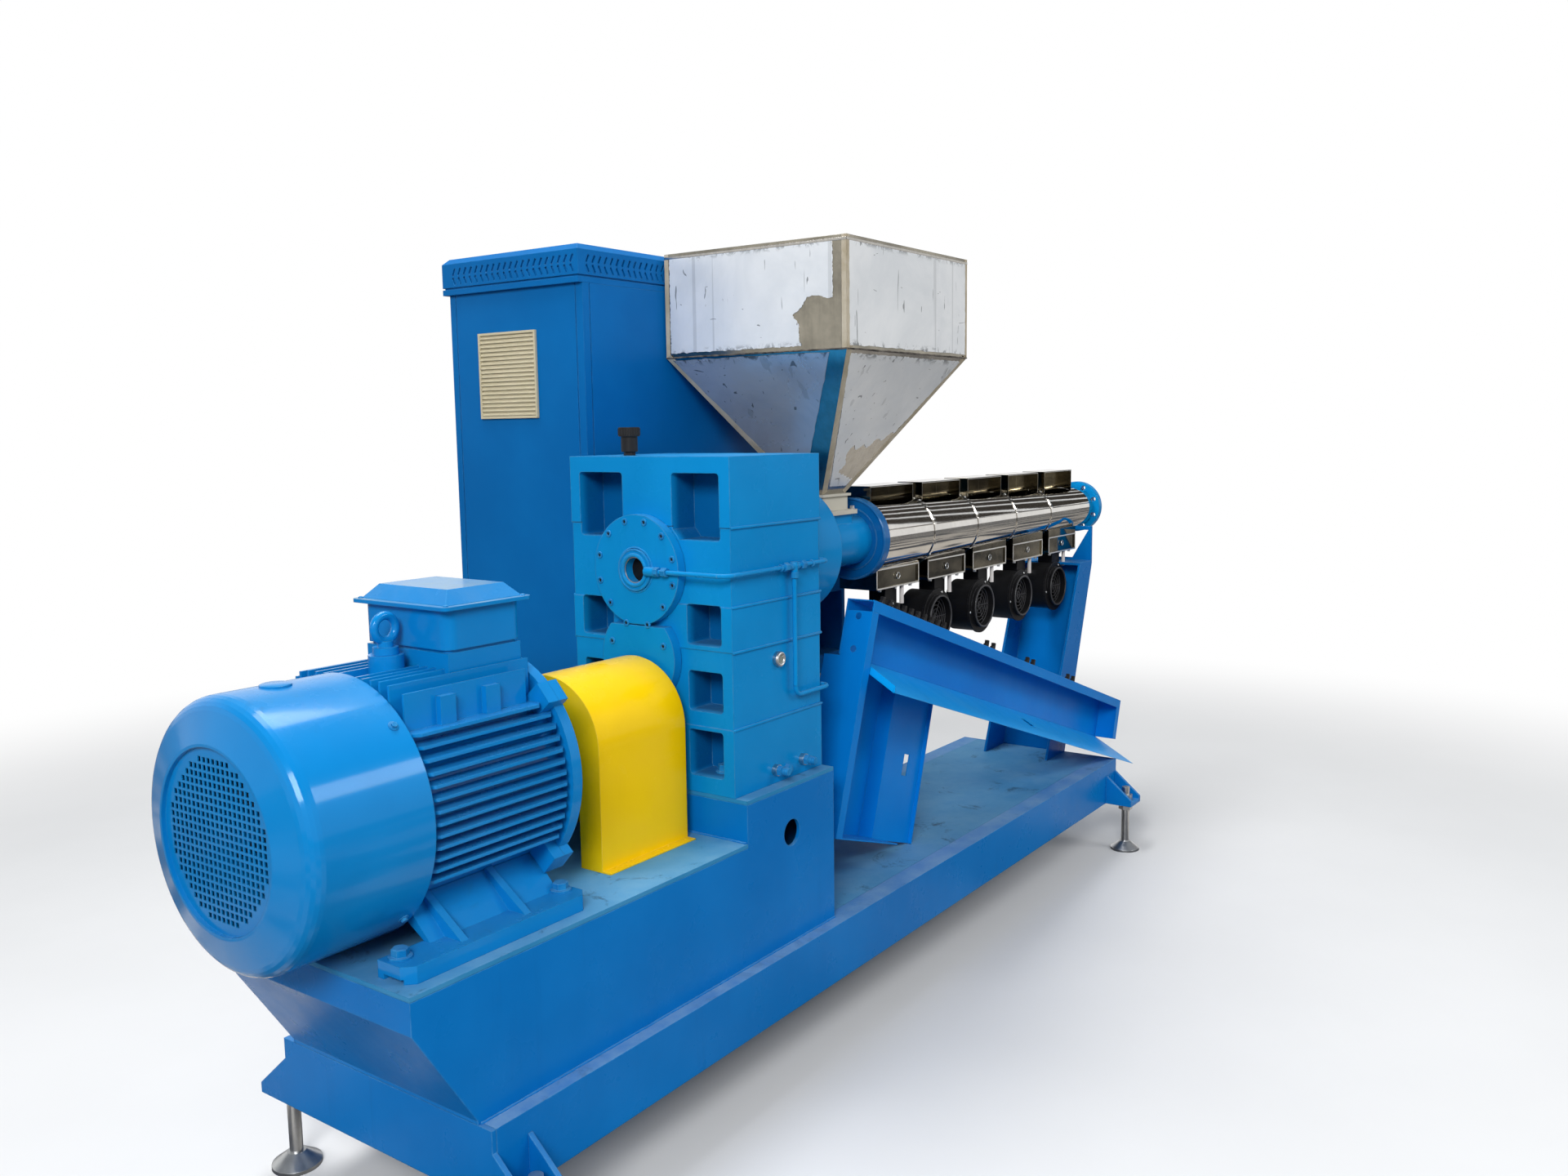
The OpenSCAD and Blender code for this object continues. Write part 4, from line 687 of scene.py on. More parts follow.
def makeCoverDetails(fit):
    coverX = mmBox("gearbox_upper_cover")[0].x
    wallX = mmBox("gearbox_housing")[0].x
    seats = [standing(around(coverX + fit["faceStep"], screwZ - drop, reach, angle), back)
             for reach, drop, angles in fit["circles"] for angle in angles]
    fasten("gearbox_cover_screws", socketScrew(*fit["screw"]), seats)
    rings = [ringPiece(at(coverX + inset, 0, screwZ), back, radius, wire, 48, section)
             for inset, radius, wire, section in fit["rings"]]
    finishPiece(joined(rings), "hub_rings", "castingBlue")
    sleeve = ringPiece(at(coverX + fit["sleeveInset"], 0, screwZ), back, fit["boreRadius"],
                       fit["sleeveWire"], 48, 8)
    finishPiece(sleeve, "hub_sleeve", "machinedSteel")
    # a black disc at the bore's end: painted shade inside the hole
    bore = rodPiece(*(at(wallX - level, 0, screwZ) for level in fit["boreEnd"]), fit["boreRadius"], 40)
    finishPiece(bore, "hub_bore_shade", "matBlack")
    # black hexes in the screw heads' recesses: painted shade in the sockets
    radius, depth = fit["socket"]
    fasten("cover_socket_shade", rodPiece(origin, up * depth, radius, 6), seats, "matBlack")


# the small oil pipe, with its bends, nuts, tee and clamps
pipeFit = {
    "pipeRadius": 6, "bend": 26, "bendSteps": 8, "sides": 20, "sideInset": 10, "hubInset": 9, "hubStart": -50,
    "nut": (0.021, 0.015), "hubNuts": (-72, -98), "hubNutX": -6, "rearNut": (20, -226),
    "teeAlong": 245, "teeArm": 30, "teeDrop": 16, "teeBody": (11, -18, 0.010), "teeCross": (18, 0.0095),
    "hubStub": (-44, -76, 0.012), "footInside": 40,
    "clamps": (-60, 80), "clampFoot": 2, "clampRod": 0.0045, "clampRing": (0.0078, 0.0022, 20, 6),
}


# a round pipe along corner points, with a bend in each corner
def tubeAlong(corners, fit):
    radius, bend, sides = fit["pipeRadius"] / 1000, fit["bend"] / 1000, fit["sides"]
    pieces, start = [], corners[0]
    for before, corner, after in zip(corners, corners[1:], corners[2:]):
        come, go = (corner - before).normalized(), (after - corner).normalized()
        turn = min(bend, (corner - before).length * 0.45, (after - corner).length * 0.45)
        entry, middle = corner - come * turn, corner - come * turn + go * turn
        pieces.append(rodPiece(start, entry, radius, sides))
        bpy.ops.mesh.primitive_circle_add(vertices=sides, radius=radius, location=entry,
                                          rotation=turnTo(come))
        elbow = applied()
        toMode("EDIT")
        pickAll()
        bpy.ops.mesh.spin(steps=fit["bendSteps"], angle=math.pi / 2, center=middle, axis=go.cross(come))
        pickAll()
        bpy.ops.mesh.normals_make_consistent(inside=False)
        toMode("OBJECT")
        pieces.append(elbow)
        start = middle + come * turn
    return pieces + [rodPiece(start, corners[-1], radius, sides)]


def makeOilPipe(fit):
    low, high = mmBox("gearbox_oil_pipe")
    housingLow, housingHigh = mmBox("gearbox_housing")
    pipeY, teeX = low.y + fit["sideInset"], housingLow.x + fit["teeAlong"]
    hubX, rearX, footZ = low.x + fit["hubInset"], high.x - fit["pipeRadius"], low.z + fit["pipeRadius"]
    arm, rearNut = fit["teeArm"], fit["rearNut"]
    seats = [(at(teeX - arm, pipeY, screwZ), back), (at(teeX + arm, pipeY, screwZ), forward),
             (at(teeX, pipeY, screwZ - fit["teeDrop"]), down)]
    nutX = mmBox("gearbox_upper_cover")[0].x + fit["hubNutX"]
    seats += [(at(nutX, y, screwZ), nearer) for y in fit["hubNuts"]]
    seats.append((at(housingHigh.x + rearNut[0], rearNut[1], screwZ), nearer))
    seats = [standing(place, axis, 0.3 * index) for index, (place, axis) in enumerate(seats)]
    fasten("oil_pipe_nuts", hexNut(*fit["nut"]), seats)
    thrustSide = mmBox("thrust_housing")[0].y
    upper = [(hubX, fit["hubStart"]), (hubX, pipeY), (rearX, pipeY), (rearX, thrustSide)]
    footY = housingLow.y + fit["footInside"]
    lower = [(teeX, pipeY), (rearX, pipeY), (rearX, footY), (housingHigh.x, footY)]
    runs = tubeAlong([at(x, y, screwZ) for x, y in upper], fit)
    runs += tubeAlong([at(teeX, pipeY, screwZ)] + [at(x, y, footZ) for x, y in lower], fit)
    rise, fall, radius = fit["teeBody"]
    runs.append(rodPiece(at(teeX, pipeY, screwZ + rise), at(teeX, pipeY, screwZ + fall), radius, 20))
    half, radius = fit["teeCross"]
    runs.append(rodPiece(at(teeX - half, pipeY, screwZ), at(teeX + half, pipeY, screwZ), radius, 20))
    first, last, radius = fit["hubStub"]
    runs.append(rodPiece(at(hubX, first, screwZ), at(hubX, last, screwZ), radius, 20))
    for step in fit["clamps"]:
        clamp = at(teeX + step, pipeY, screwZ)
        foot = at(teeX + step, housingLow.y + fit["clampFoot"], screwZ)
        runs.append(rodPiece(clamp, foot, fit["clampRod"], 12))
        runs.append(ringPiece(clamp, forward, *fit["clampRing"]))
    finishPiece(joined(runs), "oil_pipe_run", "castingBlue")
    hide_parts("gearbox_oil_pipe")


# gearbox housing: ledges, sight glass, drain nuts and barbs, foot bolts in the pockets, breather ribs
housingFit = {
    "ledges": (172, 366, 478, 673), "ledgeHalf": 3.5, "ledgeReach": 3, "ledgeStart": 1, "ledgeRound": 0.0018,
    "glassAlong": 189, "glassDrop": 20, "glassRim": (9, 0.0155, 0.0045), "glass": (8, 9.5, 0.013),
    "drains": ((170, 36), (292, 38)), "drainReach": 14, "plug": (222, 26), "drainNut": (0.026, 0.012),
    "barbs": 3, "barbStart": 0.014, "barbPitch": 0.006, "barbLength": 0.005, "barbRadii": (0.0112, 0.0088),
    "footBolt": (0.030, 0.016, 1.5, 0.004), "footBolts": ((60, -205, 44), (60, 170, 44)),
    "ribs": 20, "ribReach": 0.0275, "ribDrop": 21, "ribHeight": 0.018, "ribRadius": 0.0022,
}


def makeHousingDetails(fit):
    low, high = mmBox("gearbox_housing")
    reach, half = fit["ledgeReach"], fit["ledgeHalf"]
    bars = [boxPiece(at(low.x + fit["ledgeStart"], side - reach, low.z + level - half),
                     at(high.x + reach, side + reach, low.z + level + half))
            for level in fit["ledges"] for side in (low.y, high.y)]
    ledges = joined(bars)
    applyModifier(ledges, "BEVEL", width=fit["ledgeRound"], segments=2)
    finishPiece(ledges, "gearbox_ledges", "castingBlue")
    glassX, glassZ = low.x + fit["glassAlong"], mmBox("gearbox_fittings")[1].z - fit["glassDrop"]
    lift, radius, wire = fit["glassRim"]
    rim = ringPiece(at(glassX, low.y - lift, glassZ), nearer, radius, wire)
    finishPiece(rim, "sight_glass_rim", "zincSteel")
    inner, outer, radius = fit["glass"]
    glass = rodPiece(at(glassX, low.y - inner, glassZ), at(glassX, low.y - outer, glassZ), radius, 28)
    finishPiece(glass, "sight_glass", "oilGlass")
    barbs, hexes = [], []
    for x, z in fit["drains"]:
        foot = at(low.x + x, low.y - fit["drainReach"], low.z + z)
        hexes.append(standing(foot, nearer, 0.2))
        for step in range(fit["barbs"]):
            start = foot + nearer * (fit["barbStart"] + fit["barbPitch"] * step)
            wide, narrow = fit["barbRadii"]
            barbs.append(rodPiece(start, start + nearer * fit["barbLength"], wide, 20, narrow))
    x, z = fit["plug"]
    hexes.append(standing(at(low.x + x, low.y, low.z + z), nearer, 0.1))
    fasten("drain_nuts", hexNut(*fit["drainNut"]), hexes)
    finishPiece(joined(barbs), "drain_barbs", "blueSteel")
    seats = [standing(at(low.x + x, y, low.z + z), up, 0.4) for x, y, z in fit["footBolts"]]
    fasten("gearbox_foot_bolts", hexBolt(*fit["footBolt"]), seats)
    low, high = mmBox("gearbox_breather")
    middle = (low + high) / 2
    ribs = []
    for index in range(fit["ribs"]):
        edge = Matrix.Rotation(math.tau * index / fit["ribs"], 4, "Z") @ Vector((fit["ribReach"], 0, 0))
        spot = at(middle.x, middle.y, high.z - fit["ribDrop"]) + edge
        ribs.append(rodPiece(spot, spot + up * fit["ribHeight"], fit["ribRadius"], 6))
    finishPiece(joined(ribs), "breather_ribs", "blackPlastic")


# hopper: torn film over bare sheet, paper strips along the edges, a dark weld and a folded rim
hopperFit = {
    "stripWidth": 15, "slantWidth": 22, "thickness": 0.9,
    "ragged": 2.4, "cuts": 26, "tornCuts": 72,
    "boxInsets": (13, 13, 9, 10), "coneInsets": (20, 20, 9, 26),    # left, right, above, below
    "bareSides": (38, 58),    # right insets on the motor side
    "bead": 2.4, "jitter": 0.0012, "beadStep": 12,
    "foldDrop": 0.008, "fold": (0.007, 0.0016),
    "throatBolt": (0.013, 0.007), "throatInset": (13, 11), "throatLift": 14,
}
hopperMiddle = (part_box("hopper_cone")[0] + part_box("hopper_cone")[1]) / 2


def awayFromHopper(direction, place):
    return -direction if direction.dot(place - hopperMiddle) < 0 else direction


def edgeStrip(start, end, faceMiddle, width, thickness):
    along = (end - start).normalized()
    middle = (start + end) / 2
    inward = faceMiddle - middle
    inward = (inward - along * inward.dot(along)).normalized()
    out = awayFromHopper(along.cross(inward), middle)
    bpy.ops.mesh.primitive_cube_add(size=1)
    strip = bpy.context.object
    strip.data.transform(Matrix.Translation(middle + inward * width / 2 + out * thickness / 2)
                         @ turnedTo(inward, out, inward.cross(out))
                         @ Matrix.Diagonal((width, thickness, (end - start).length, 1)))
    return strip


# one sheet of film over a face given by its top edge and its bottom edge; a test says where it is torn away
def filmPanel(topLeft, topRight, lowLeft, lowRight, insets, torn, fit):
    left, right, above, below = (number / 1000 for number in insets)
    across = (topRight - topLeft).normalized()
    fall = (lowLeft + lowRight) / 2 - (topLeft + topRight) / 2
    height = fall.length
    out = awayFromHopper(fall.cross(across).normalized(), (topLeft + lowRight) / 2)
    topWide, lowWide = (topRight - topLeft).length, (lowRight - lowLeft).length
    shrink = (lowWide - left - right) / (topWide - left - right)
    bpy.ops.mesh.primitive_plane_add(size=1)
    panel = bpy.context.object
    toMode("EDIT")
    bpy.ops.transform.resize(value=(topWide - left - right, height - above - below, 1))
    bpy.ops.mesh.select_mode(type="VERT")
    pickAll("DESELECT")
    toMode("OBJECT")
    for vertex in panel.data.vertices:
        vertex.select = vertex.co.y < 0
    toMode("EDIT")
    bpy.ops.transform.resize(value=(shrink, 1, 1), center_override=(0, 0, 0))
    pickAll()
    bpy.ops.mesh.subdivide(number_cuts=fit["cuts"] if torn is whole else fit["tornCuts"])
    toMode("OBJECT")
    pickFaces(panel, lambda center, normal: torn(center.x / topWide, center.y / height))
    bpy.ops.mesh.delete(type="FACE")
    pickAll()
    bpy.ops.mesh.region_to_loop()
    if torn is not whole:
        bpy.ops.mesh.vertices_smooth(factor=0.5, repeat=6)
    bpy.ops.transform.vertex_random(offset=fit["ragged"] / 1000, uniform=0.2, seed=5)
    pickAll()
    bpy.ops.transform.resize(value=(1, 1, 0), center_override=(0, 0, 0))
    toMode("OBJECT")
    applyModifier(panel, "SOLIDIFY", thickness=fit["thickness"] / 1000, offset=0)
    upward = -fall.normalized()
    middle = (topLeft + topRight) / 2 + fall / 2 + across * (left - right) / 2 + upward * (below - above) / 2
    panel.data.transform(Matrix.Translation(middle + out * fit["thickness"] / 1000)
                         @ turnedTo(across, upward, across.cross(upward)))
    return panel


# tears, with x and y in shares of a panel's width and height from its middle

def whole(x, y):
    return False


def tornCorner(x, y):
    reach = 0.25 + 0.03 * math.sin(17 * y) + 0.5 * max(0, -0.30 - y)
    return x > reach and y < -0.04 - 1.6 * max(0, 0.33 - x) + 0.02 * math.sin(40 * x)


def tornLow(x, y):
    edge = -0.19 + 0.5 * abs(x - 0.01) + 0.02 * math.sin(70 * x)
    return x > -0.055 + 0.018 * math.sin(37 * y) and y < edge and y > -0.37 - 0.4 * x


# the hopper's four edges, each a top, a middle and a low corner
def hopperEdges():
    low, high = mmBox("hopper_box")
    cone = nodes["hopper_cone"].data.vertices
    lowest = min(vertex.co.z for vertex in cone)
    foot = [vertex.co.copy() for vertex in cone if vertex.co.z < lowest + 1e-4]
    footX = (min(p.x for p in foot), max(p.x for p in foot))
    footY = (min(p.y for p in foot), max(p.y for p in foot))
    edges = {}
    for i, x in enumerate((low.x, high.x)):
        for j, y in enumerate((low.y, high.y)):
            edges[i, j] = (at(x, y, high.z), at(x, y, low.z), Vector((footX[i], footY[j], lowest)))
    return edges


def makeHopperTrim(fit):
    sides = hopperEdges()
    thickness, wide, slant = (fit[word] / 1000 for word in ("thickness", "stripWidth", "slantWidth"))
    faces = {"motor": ((0, 1), (0, 0)), "near": ((0, 0), (1, 0)),
             "outlet": ((1, 0), (1, 1)), "far": ((1, 1), (0, 1))}
    strips = []
    for name, corners in faces.items():
        upper, lower = (sum((sides[corner][row] for corner in corners for row in rows), Vector()) / 4
                        for rows in ((0, 1), (1, 2)))
        for corner in corners:
            top, middle, low = sides[corner]
            strips.append(edgeStrip(middle, top, upper, wide, thickness))
            if name != "motor" or corner == (0, 1):
                strips.append(edgeStrip(low, middle, lower, slant, thickness))
    finishPiece(joined(strips), "hopper_edge_paper", "tapeBeige", 20)
    for name, (first, second) in faces.items():
        (topA, midA, lowA), (topB, midB, lowB) = sides[first], sides[second]
        boxInsets, coneInsets = list(fit["boxInsets"]), list(fit["coneInsets"])
        if name == "motor":
            boxInsets[1], coneInsets[1] = fit["bareSides"]
        wrap = filmPanel(topA, topB, midA, midB, boxInsets, tornCorner if name == "motor" else whole, fit)
        finishPiece(wrap, "film_box_" + name, "filmPale", 20)
        wrap = filmPanel(midA, midB, lowA, lowB, coneInsets, tornLow if name == "near" else whole, fit)
        # the cone's motor and far faces take the film with painted shade and reflection
        finish = "filmBlue" if name in ("motor", "far") else "filmPale"
        finishPiece(wrap, "film_cone_" + name, finish, 20)
    welds, folds, drop = [], [], up * fit["foldDrop"]
    for first, second in faces.values():
        (topA, midA, lowA), (topB, midB, lowB) = sides[first], sides[second]
        welds.append(beadAlong(midA, midB, fit))
        folds.append(edgeStrip(topA - drop, topB - drop, (midA + midB) / 2, *fit["fold"]))
    finishPiece(joined(welds), "hopper_weld", "sootyWeld", 50)
    finishPiece(joined(folds), "hopper_rim", "bareSheet", 20)
    low, high = mmBox("feed_throat")
    insetX, insetY = fit["throatInset"]
    seats = [standing(at(x, y, low.z + fit["throatLift"]), up, 0.2)
             for x in (low.x + insetX, high.x - insetX) for y in (low.y + insetY, high.y - insetY)]
    fasten("throat_bolts", hexBolt(*fit["throatBolt"]), seats, "zincSteel")


# barrel: heating zones, seams and screws of the cover, rims of the flange
barrelFit = {
    "zoneFirst": 155, "zonePitch": 337, "zones": 5, "flangeDepth": 29,
    "coverFeed": 125, "coverOutlet": 86,    # the cover's radius at its two ends
    "seamAngles": (14, -166), "seamEnds": (12, 22), "seam": 0.0022, "lip": (3, 0.6),
    "screwAngles": (-38, 22, 62), "screwLift": 2.8, "screwRadius": 0.004,
    "flangeRims": ((-1, 0.128, 0.0038, 72, 10), (0, 0.099, 0.0030, 64, 8)),
}
barrelLow, barrelHigh = mmBox("barrel")
barrelZ = (barrelLow.z + barrelHigh.z) / 2
flangeEnd = barrelLow.x + barrelFit["flangeDepth"]
zoneMiddles = [flangeEnd + barrelFit["zoneFirst"] + index * barrelFit["zonePitch"]
               for index in range(barrelFit["zones"])]


def makeCoverTrim(fit):
    length = barrelHigh.x - flangeEnd

    def onCover(along, angle, lift=0.0):
        radius = fit["coverFeed"] + (fit["coverOutlet"] - fit["coverFeed"]) * along / length + lift
        turn = math.radians(angle)
        return at(flangeEnd + along, -math.cos(turn) * radius, barrelZ + math.sin(turn) * radius)

    start, end = fit["seamEnds"][0], length - fit["seamEnds"][1]
    seams = [rodPiece(onCover(start, angle, -0.3), onCover(end, angle, -0.3), fit["seam"], 8)
             for angle in fit["seamAngles"]]
    step, rise = fit["lip"]
    lip = at(flangeEnd + step, 0, barrelZ)
    seams.append(ringPiece(lip, forward, (fit["coverFeed"] + rise) / 1000, fit["seam"], 96, 8))
    finishPiece(joined(seams), "cover_seams", "polishedSheet")
    screws = []
    for index in range(fit["zones"] - 1):
        along = fit["zoneFirst"] + (index + 0.5) * fit["zonePitch"]
        for angle in fit["screwAngles"]:
            place = onCover(along, angle, fit["screwLift"])
            screws.append(standing(place, (place - at(flangeEnd + along, 0, barrelZ)).normalized()))
    fasten("cover_screws", domeScrew(fit["screwRadius"]), screws, "zincSteel")
    # the flange rims take the same darkened paint, painted shade
    rims = [ringPiece(at(barrelLow.x + step, 0, barrelZ), back, *sizes) for step, *sizes in fit["flangeRims"]]
    finishPiece(joined(rims), "barrel_flange_rims", "flangeBlue")


# blowers: grille and screws in each inlet, and a capacitor beside it
blowerFit = {
    "shift": -63, "drumLift": 100,
    "rings": 5, "ringGap": 0.15, "ringWire": 0.0013, "ringInset": 22, "inletRadius": 72,
    "spokes": 6, "spokeWire": 0.0014, "spokeInset": 24,
    "mouthRing": (0.0755, 0.0035, 40, 8), "mouthInset": 0.5,
    "screwAngles": (70, 190, 310), "screwReach": 90, "screwInset": 14, "screwRadius": 0.0045,
    "canShift": 109, "canInset": 26, "canLevels": (76, 136), "canRadii": (0.0075, 0.007),
}


def makeBlowerDetails(fit):
    low = mmBox("cooling_blowers")[0]
    drumZ, mouthY = low.z + fit["drumLift"], low.y
    rings, spokes, screws, cans = [], [], [], []
    for middle in zoneMiddles:
        x = middle + fit["shift"]
        grille = at(x, mouthY + fit["ringInset"], drumZ)
        for ring in range(1, fit["rings"] + 1):
            radius = fit["inletRadius"] / 1000 * ring / (fit["rings"] + fit["ringGap"])
            rings.append(ringPiece(grille, nearer, radius, fit["ringWire"], 28, 6))
        hub = at(x, mouthY + fit["spokeInset"], drumZ)
        for spoke in range(fit["spokes"]):
            turn = math.tau * spoke / fit["spokes"]
            tip = Vector((math.cos(turn), 0, math.sin(turn))) * (fit["inletRadius"] - 0.5) / 1000
            spokes.append(rodPiece(hub, hub + tip, fit["spokeWire"], 6))
        for angle in fit["screwAngles"]:
            turn, reach = math.radians(angle), fit["screwReach"]
            place = at(x + math.cos(turn) * reach, mouthY + fit["screwInset"], drumZ + math.sin(turn) * reach)
            screws.append(standing(place, nearer))
        foot, top = (at(x + fit["canShift"], mouthY + fit["canInset"], drumZ + z) for z in fit["canLevels"])
        wide, narrow = fit["canRadii"]
        cans.append(rodPiece(foot, top, wide, 20, narrow))
        rings.append(ringPiece(at(x, mouthY + fit["mouthInset"], drumZ), nearer, *fit["mouthRing"]))
    finishPiece(joined(rings + spokes), "blower_grilles", "blackSteel")
    fasten("blower_screws", domeScrew(fit["screwRadius"]), screws, "zincSteel")
    finishPiece(joined(cans), "blower_capacitors", "whitePlastic")


# air ducts: tray bolts, thin bright edges, and a small ring on each tray
airFit = {
    "trayWidth": 275, "trayHeight": 68,
    "bolt": (0.010, 0.005), "boltSteps": (-0.36, 0.0, 0.36), "boltInset": 12,
    "edgeReach": 137, "edge": 4, "thinEdge": 3, "footEdge": 0.5, "skin": 0.8, "edgeDepth": 2, "trayLift": 1,
    "ringLift": 36, "ringProud": 0.5, "ring": (0.010, 0.0016, 24, 6),
}


def makeAirDuctTrim(fit):
    low, hoodLow, hoodHigh = mmBox("lower_air_ducts")[0], *mmBox("upper_air_ducts")
    seats = [standing(at(middle + step * fit["trayWidth"], low.y + fit["boltInset"], low.z), down, step)
             for middle in zoneMiddles for step in fit["boltSteps"]]
    fasten("tray_bolts", hexBolt(*fit["bolt"]), seats, "zincSteel")
    reach, edge, thin = fit["edgeReach"], fit["edge"], fit["thinEdge"]
    frontY, backY = low.y - fit["skin"], low.y + fit["edgeDepth"]
    trayLow, trayHigh = low.z + fit["trayLift"], low.z + fit["trayHeight"] - edge
    edges = []
    for middle in zoneMiddles:
        start, end = middle - reach, middle + reach
        for side in (hoodLow.y, hoodHigh.y - thin):
            edges.append(boxPiece(at(start, side, hoodHigh.z - edge), at(end, side + thin, hoodHigh.z)))
        for z in (trayLow, trayHigh):
            edges.append(boxPiece(at(start, frontY, z - fit["footEdge"]), at(end, backY, z + edge)))
        for x in (start, end - thin):
            edges.append(boxPiece(at(x, frontY, trayLow), at(x + edge, backY, trayHigh + thin)))
    finishPiece(joined(edges), "duct_edges", "brightEdge", 20)
    knobs = [ringPiece(at(middle, low.y - fit["ringProud"], low.z + fit["ringLift"]), nearer, *fit["ring"])
             for middle in zoneMiddles]
    finishPiece(joined(knobs), "duct_rings", "zincSteel")


# wiring duct: cable clips along its upper edge
ductFit = {
    "tilt": 18.4, "beamHeight": 165, "clipSize": (16, 12, 42),
    "clips": [*range(180, 640, 46), 930, 985, 1290, 1345, 1700, 1755],    # along the edge, from its high end
}


def makeDuctClips(fit):
    low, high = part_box("wiring_duct_beam")
    tilt = math.radians(fit["tilt"])
    corner = Vector((low.x + fit["beamHeight"] / 1000 * math.sin(tilt), high.y, high.z))
    edge = Matrix.Translation(corner) @ Matrix.Rotation(tilt, 4, "Y")
    wide, deep, tall = (number / 1000 for number in fit["clipSize"])
    body = boxPiece(Vector((-wide / 2, -deep, 0)), Vector((wide / 2, 0, tall * 0.7)))
    lip = boxPiece(Vector((-wide * 0.35, -deep * 1.25, tall * 0.5)), Vector((wide * 0.35, -deep * 0.2, tall)))
    seats = [edge @ Matrix.Translation((x / 1000, -0.002, 0)) for x in fit["clips"]]
    finishPiece(placeCopies(joined([body, lip]), seats), "cable_clips", "blackPlastic", 20)


# base: weld beads along the pedestals' feet, behind them, and on the deck in front of the gearbox
baseFit = {"bead": 3.2, "jitter": 0.0009, "beadStep": 9, "endGap": 4, "startX": 6, "endInset": 2, "proud": 1}


def makeWelds(fit):
    low, high = mmBox("pedestal_frame")
    proud = fit["proud"]
    railZ, deckZ = mmBox("base_rail_near")[1].z + proud, mmBox("motor_feet")[0].z + proud
    gearEnd, gearX = mmBox("pedestal_decks")[1].x, mmBox("gearbox_housing")[0].x
    near, far = low.y + fit["endGap"], high.y - fit["endGap"]
    beads = [beadAlong(at(fit["startX"], y, railZ), at(gearEnd - fit["endInset"], y, railZ), fit)
             for y in (low.y - proud, high.y + proud)]
    for x, z in ((gearEnd + proud, railZ), (gearX - proud, deckZ)):
        beads.append(beadAlong(at(x, near, z), at(x, far, z), fit))
    finishPiece(joined(beads), "weld_beads", "frameBlue", 60)


makeMotorFasteners(motorFit)
print("motor details made")
makeCoverDetails(coverFit)
makeOilPipe(pipeFit)
makeHousingDetails(housingFit)
print("gearbox details made")
makeHopperTrim(hopperFit)
makeCoverTrim(barrelFit)
makeBlowerDetails(blowerFit)
makeAirDuctTrim(airFit)
print("hopper and barrel details made")
makeDuctClips(ductFit)
makeWelds(baseFit)
print("duct and base details made")


# floor and world: mirrors see the floor mottled, and other bounced light sees it dark
stageLook = {
    "floorSize": 80, "floorColor": (0.80, 0.80, 0.795), "floorPaler": 0.02, "fadeStart": 2.8, "fadeEnd": 6.0,
    "bounce": (0.33, 0.32, 0.30), "mirrorDark": (0.07, 0.075, 0.09), "mirrorPale": (0.74, 0.68, 0.60),
    "mottle": 0.9, "sky": (1.0, 1.0, 1.0), "fill": 0.44,
    "ceiling": (0.24, 0.26, 0.29), "ceilingStart": 0.37, "ceilingFull": 0.62,
}


def seenRays(tree, mirrors=True):
    path = addNode(tree, "ShaderNodeLightPath").outputs
    seen = mathNode(tree, "ADD", path["Is Camera Ray"], path["Is Transmission Ray"], clamp=True)
    return mathNode(tree, "ADD", seen, path["Is Glossy Ray"], clamp=True) if mirrors else seen


def makeFloor(look):
    bpy.ops.object.select_all(action="DESELECT")
    bpy.ops.mesh.primitive_plane_add(size=look["floorSize"])
    floor = bpy.context.object
    floor.name = "paleFloor"
    material, tree, shader = newMaterial("paleFloor", {"Roughness": 0.5, "Specular IOR Level": 0.2})
    where = objectCoordinates(tree)
    length = addNode(tree, "ShaderNodeVectorMath", {0: where}, operation="LENGTH").outputs["Value"]
    far = rampNode(tree, length, look["fadeStart"], look["fadeEnd"])
    paler = tuple(number + look["floorPaler"] for number in look["floorColor"])
    shown = mixColors(tree, patches(tree, where, (1.3, 4), (0.3, 0.7)), look["floorColor"], paler)
    mottle = patches(tree, where, (look["mottle"], 3, 0.5, 1.2), (0.44, 0.56))
    mirrored = mixColors(tree, mottle, look["mirrorDark"], look["mirrorPale"])
    path = addNode(tree, "ShaderNodeLightPath").outputs
    others = mixColors(tree, path["Is Glossy Ray"], look["bounce"], mirrored)
    seen = seenRays(tree, False)
    feed(tree, shader.inputs["Base Color"], mixColors(tree, seen, others, shown))
    bumpFrom(tree, shader, noiseNode(tree, where, 3, 2), 0.02, 0.01)
    glow = addNode(tree, "ShaderNodeEmission")
    inputs = {0: times(tree, far, seen), 1: shader.outputs[0], 2: glow.outputs[0]}
    blend = addNode(tree, "ShaderNodeMixShader", inputs)
    feed(tree, tree.nodes["Material Output"].inputs["Surface"], blend.outputs[0])
    floor.data.materials.append(material)


def makeWorld(look):
    world = bpy.data.worlds.new("softStudio")
    bpy.context.scene.world = world
    world.use_nodes = True
    tree = world.node_tree
    direction = addNode(tree, "ShaderNodeTexCoord").outputs["Generated"]
    height = rampNode(tree, axesOf(tree, direction)[2], look["ceilingStart"], look["ceilingFull"])
    dim = tuple(number * look["fill"] for number in look["sky"])
    low = mixColors(tree, seenRays(tree), dim, look["sky"])
    feed(tree, tree.nodes["Background"].inputs["Color"], mixColors(tree, height, low, look["ceiling"]))


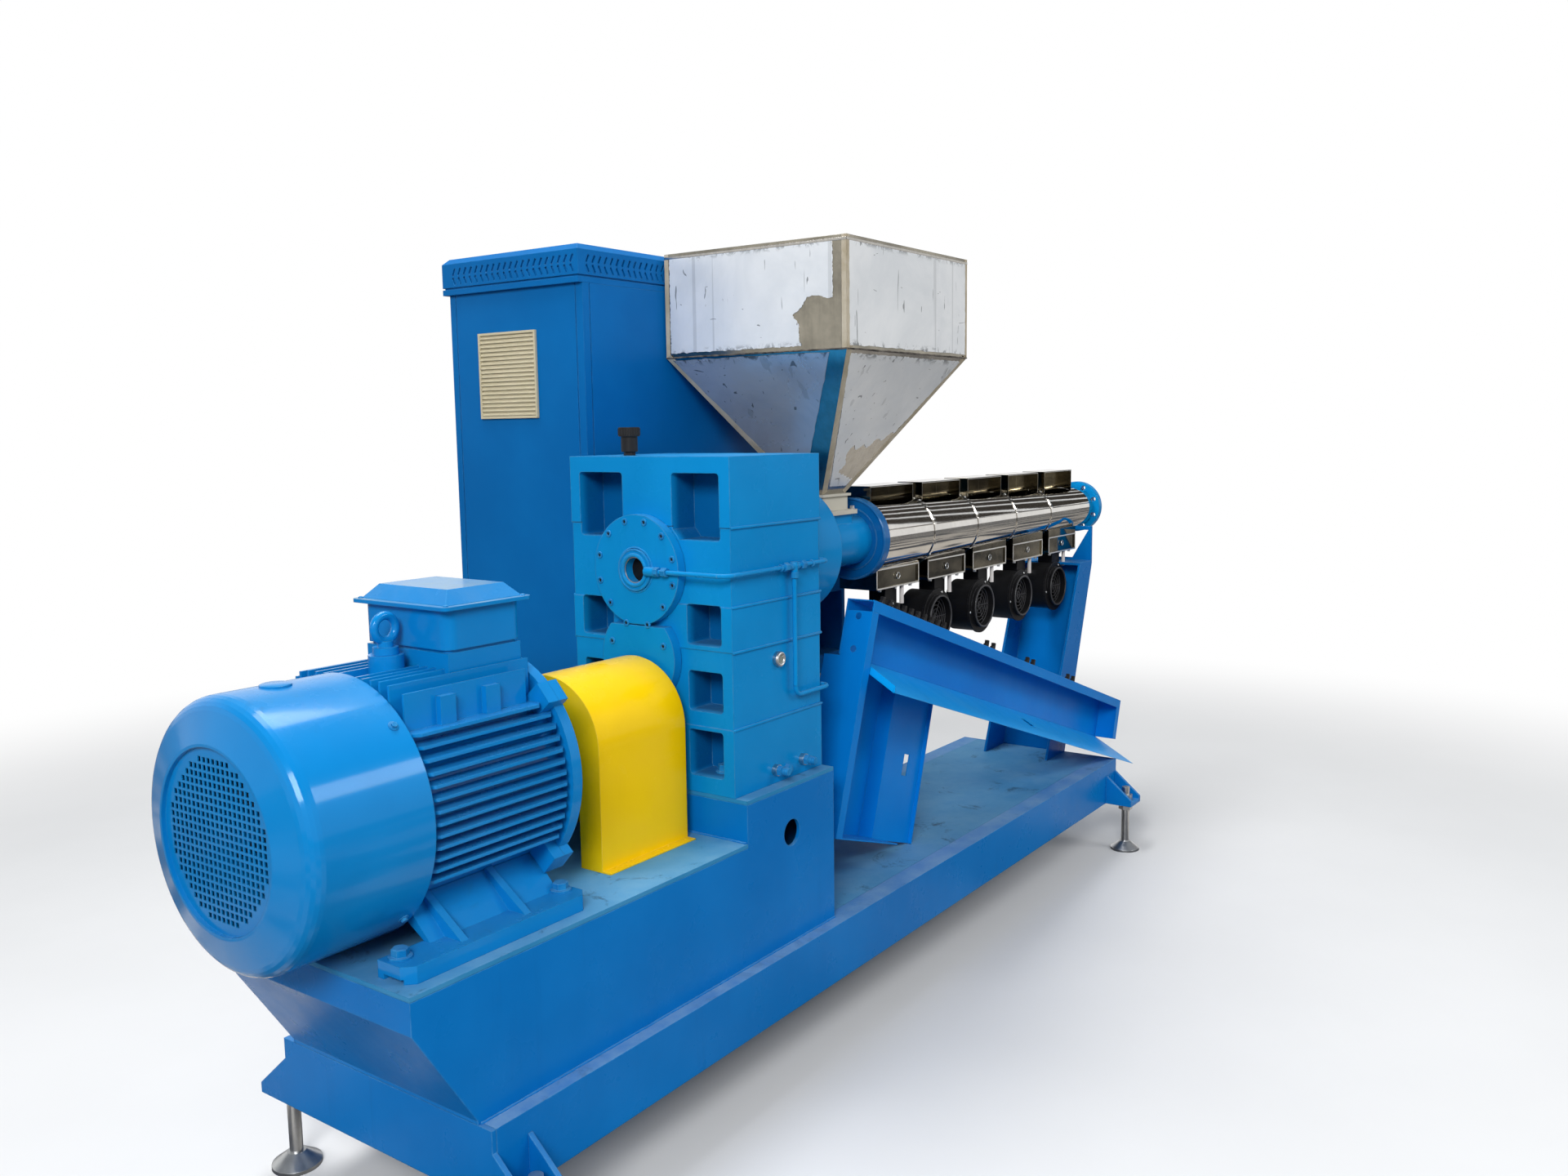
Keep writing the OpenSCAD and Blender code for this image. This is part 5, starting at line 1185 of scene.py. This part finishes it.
# a dark wall with window strips, which only reflections show
cardLook = {
    "place": (8.2, 0.8, 4.6), "size": (9.4, 4.4), "dark": (0.055, 0.050, 0.045), "window": (0.95, 0.97, 1.0),
    "stripScale": 0.28, "distortion": 1.2, "detail": 1.0, "stripEdge": (0.86, 0.93),
}


def makeCard(look):
    bpy.ops.mesh.primitive_plane_add(size=1, location=look["place"], rotation=(math.pi / 2, 0, -math.pi / 2))
    bpy.context.object.scale = (*look["size"], 1)
    card = applied()
    card.name = "darkCard"
    material = bpy.data.materials.new("darkCard")
    material.use_nodes = True
    tree = material.node_tree
    own = addNode(tree, "ShaderNodeTexCoord").outputs["Object"]
    inputs = {"Vector": own, "Scale": look["stripScale"], "Distortion": look["distortion"],
              "Detail": look["detail"]}
    strips = addNode(tree, "ShaderNodeTexWave", inputs, bands_direction="Y").outputs["Fac"]
    lit = rampNode(tree, strips, *look["stripEdge"])
    glow = addNode(tree, "ShaderNodeEmission", {"Color": mixColors(tree, lit, look["dark"], look["window"])})
    feed(tree, tree.nodes["Material Output"].inputs["Surface"], glow.outputs[0])
    card.data.materials.append(material)
    card.visible_camera = card.visible_diffuse = card.visible_shadow = card.visible_transmission = False


# soft lamps, sizes in metres and powers in watts
lamps = {
    "windowLamp": {"place": (-6.5, -3.6, 4.6), "target": (-0.5, -0.2, 1.0), "size": (2.6, 2.0), "power": 370},
    "frontLamp": {"place": (2.5, -6.5, 5.0), "target": (0.5, -0.2, 1.0), "size": (3.2, 1.6), "power": 130},
    "topLamp": {"place": (-0.5, 1.0, 6.0), "target": (-0.2, 0, 1.0), "size": (4.0, 2.0), "power": 260},
}


def addLamp(name, look):
    bpy.ops.object.light_add(type="AREA", location=look["place"])
    lamp = bpy.context.object
    lamp.name = name
    lamp.data.shape = "RECTANGLE"
    lamp.data.size, lamp.data.size_y = look["size"]
    lamp.data.energy = look["power"]
    aim = Vector(look["target"]) - Vector(look["place"])
    lamp.rotation_euler = aim.to_track_quat("-Z", "Y").to_euler()
    lamp.visible_camera = False


makeFloor(stageLook)
makeWorld(stageLook)
makeCard(cardLook)
for name, look in lamps.items():
    addLamp(name, look)
print("stage, camera and lamps placed")

bpy.context.scene.view_settings.view_transform = "Standard"
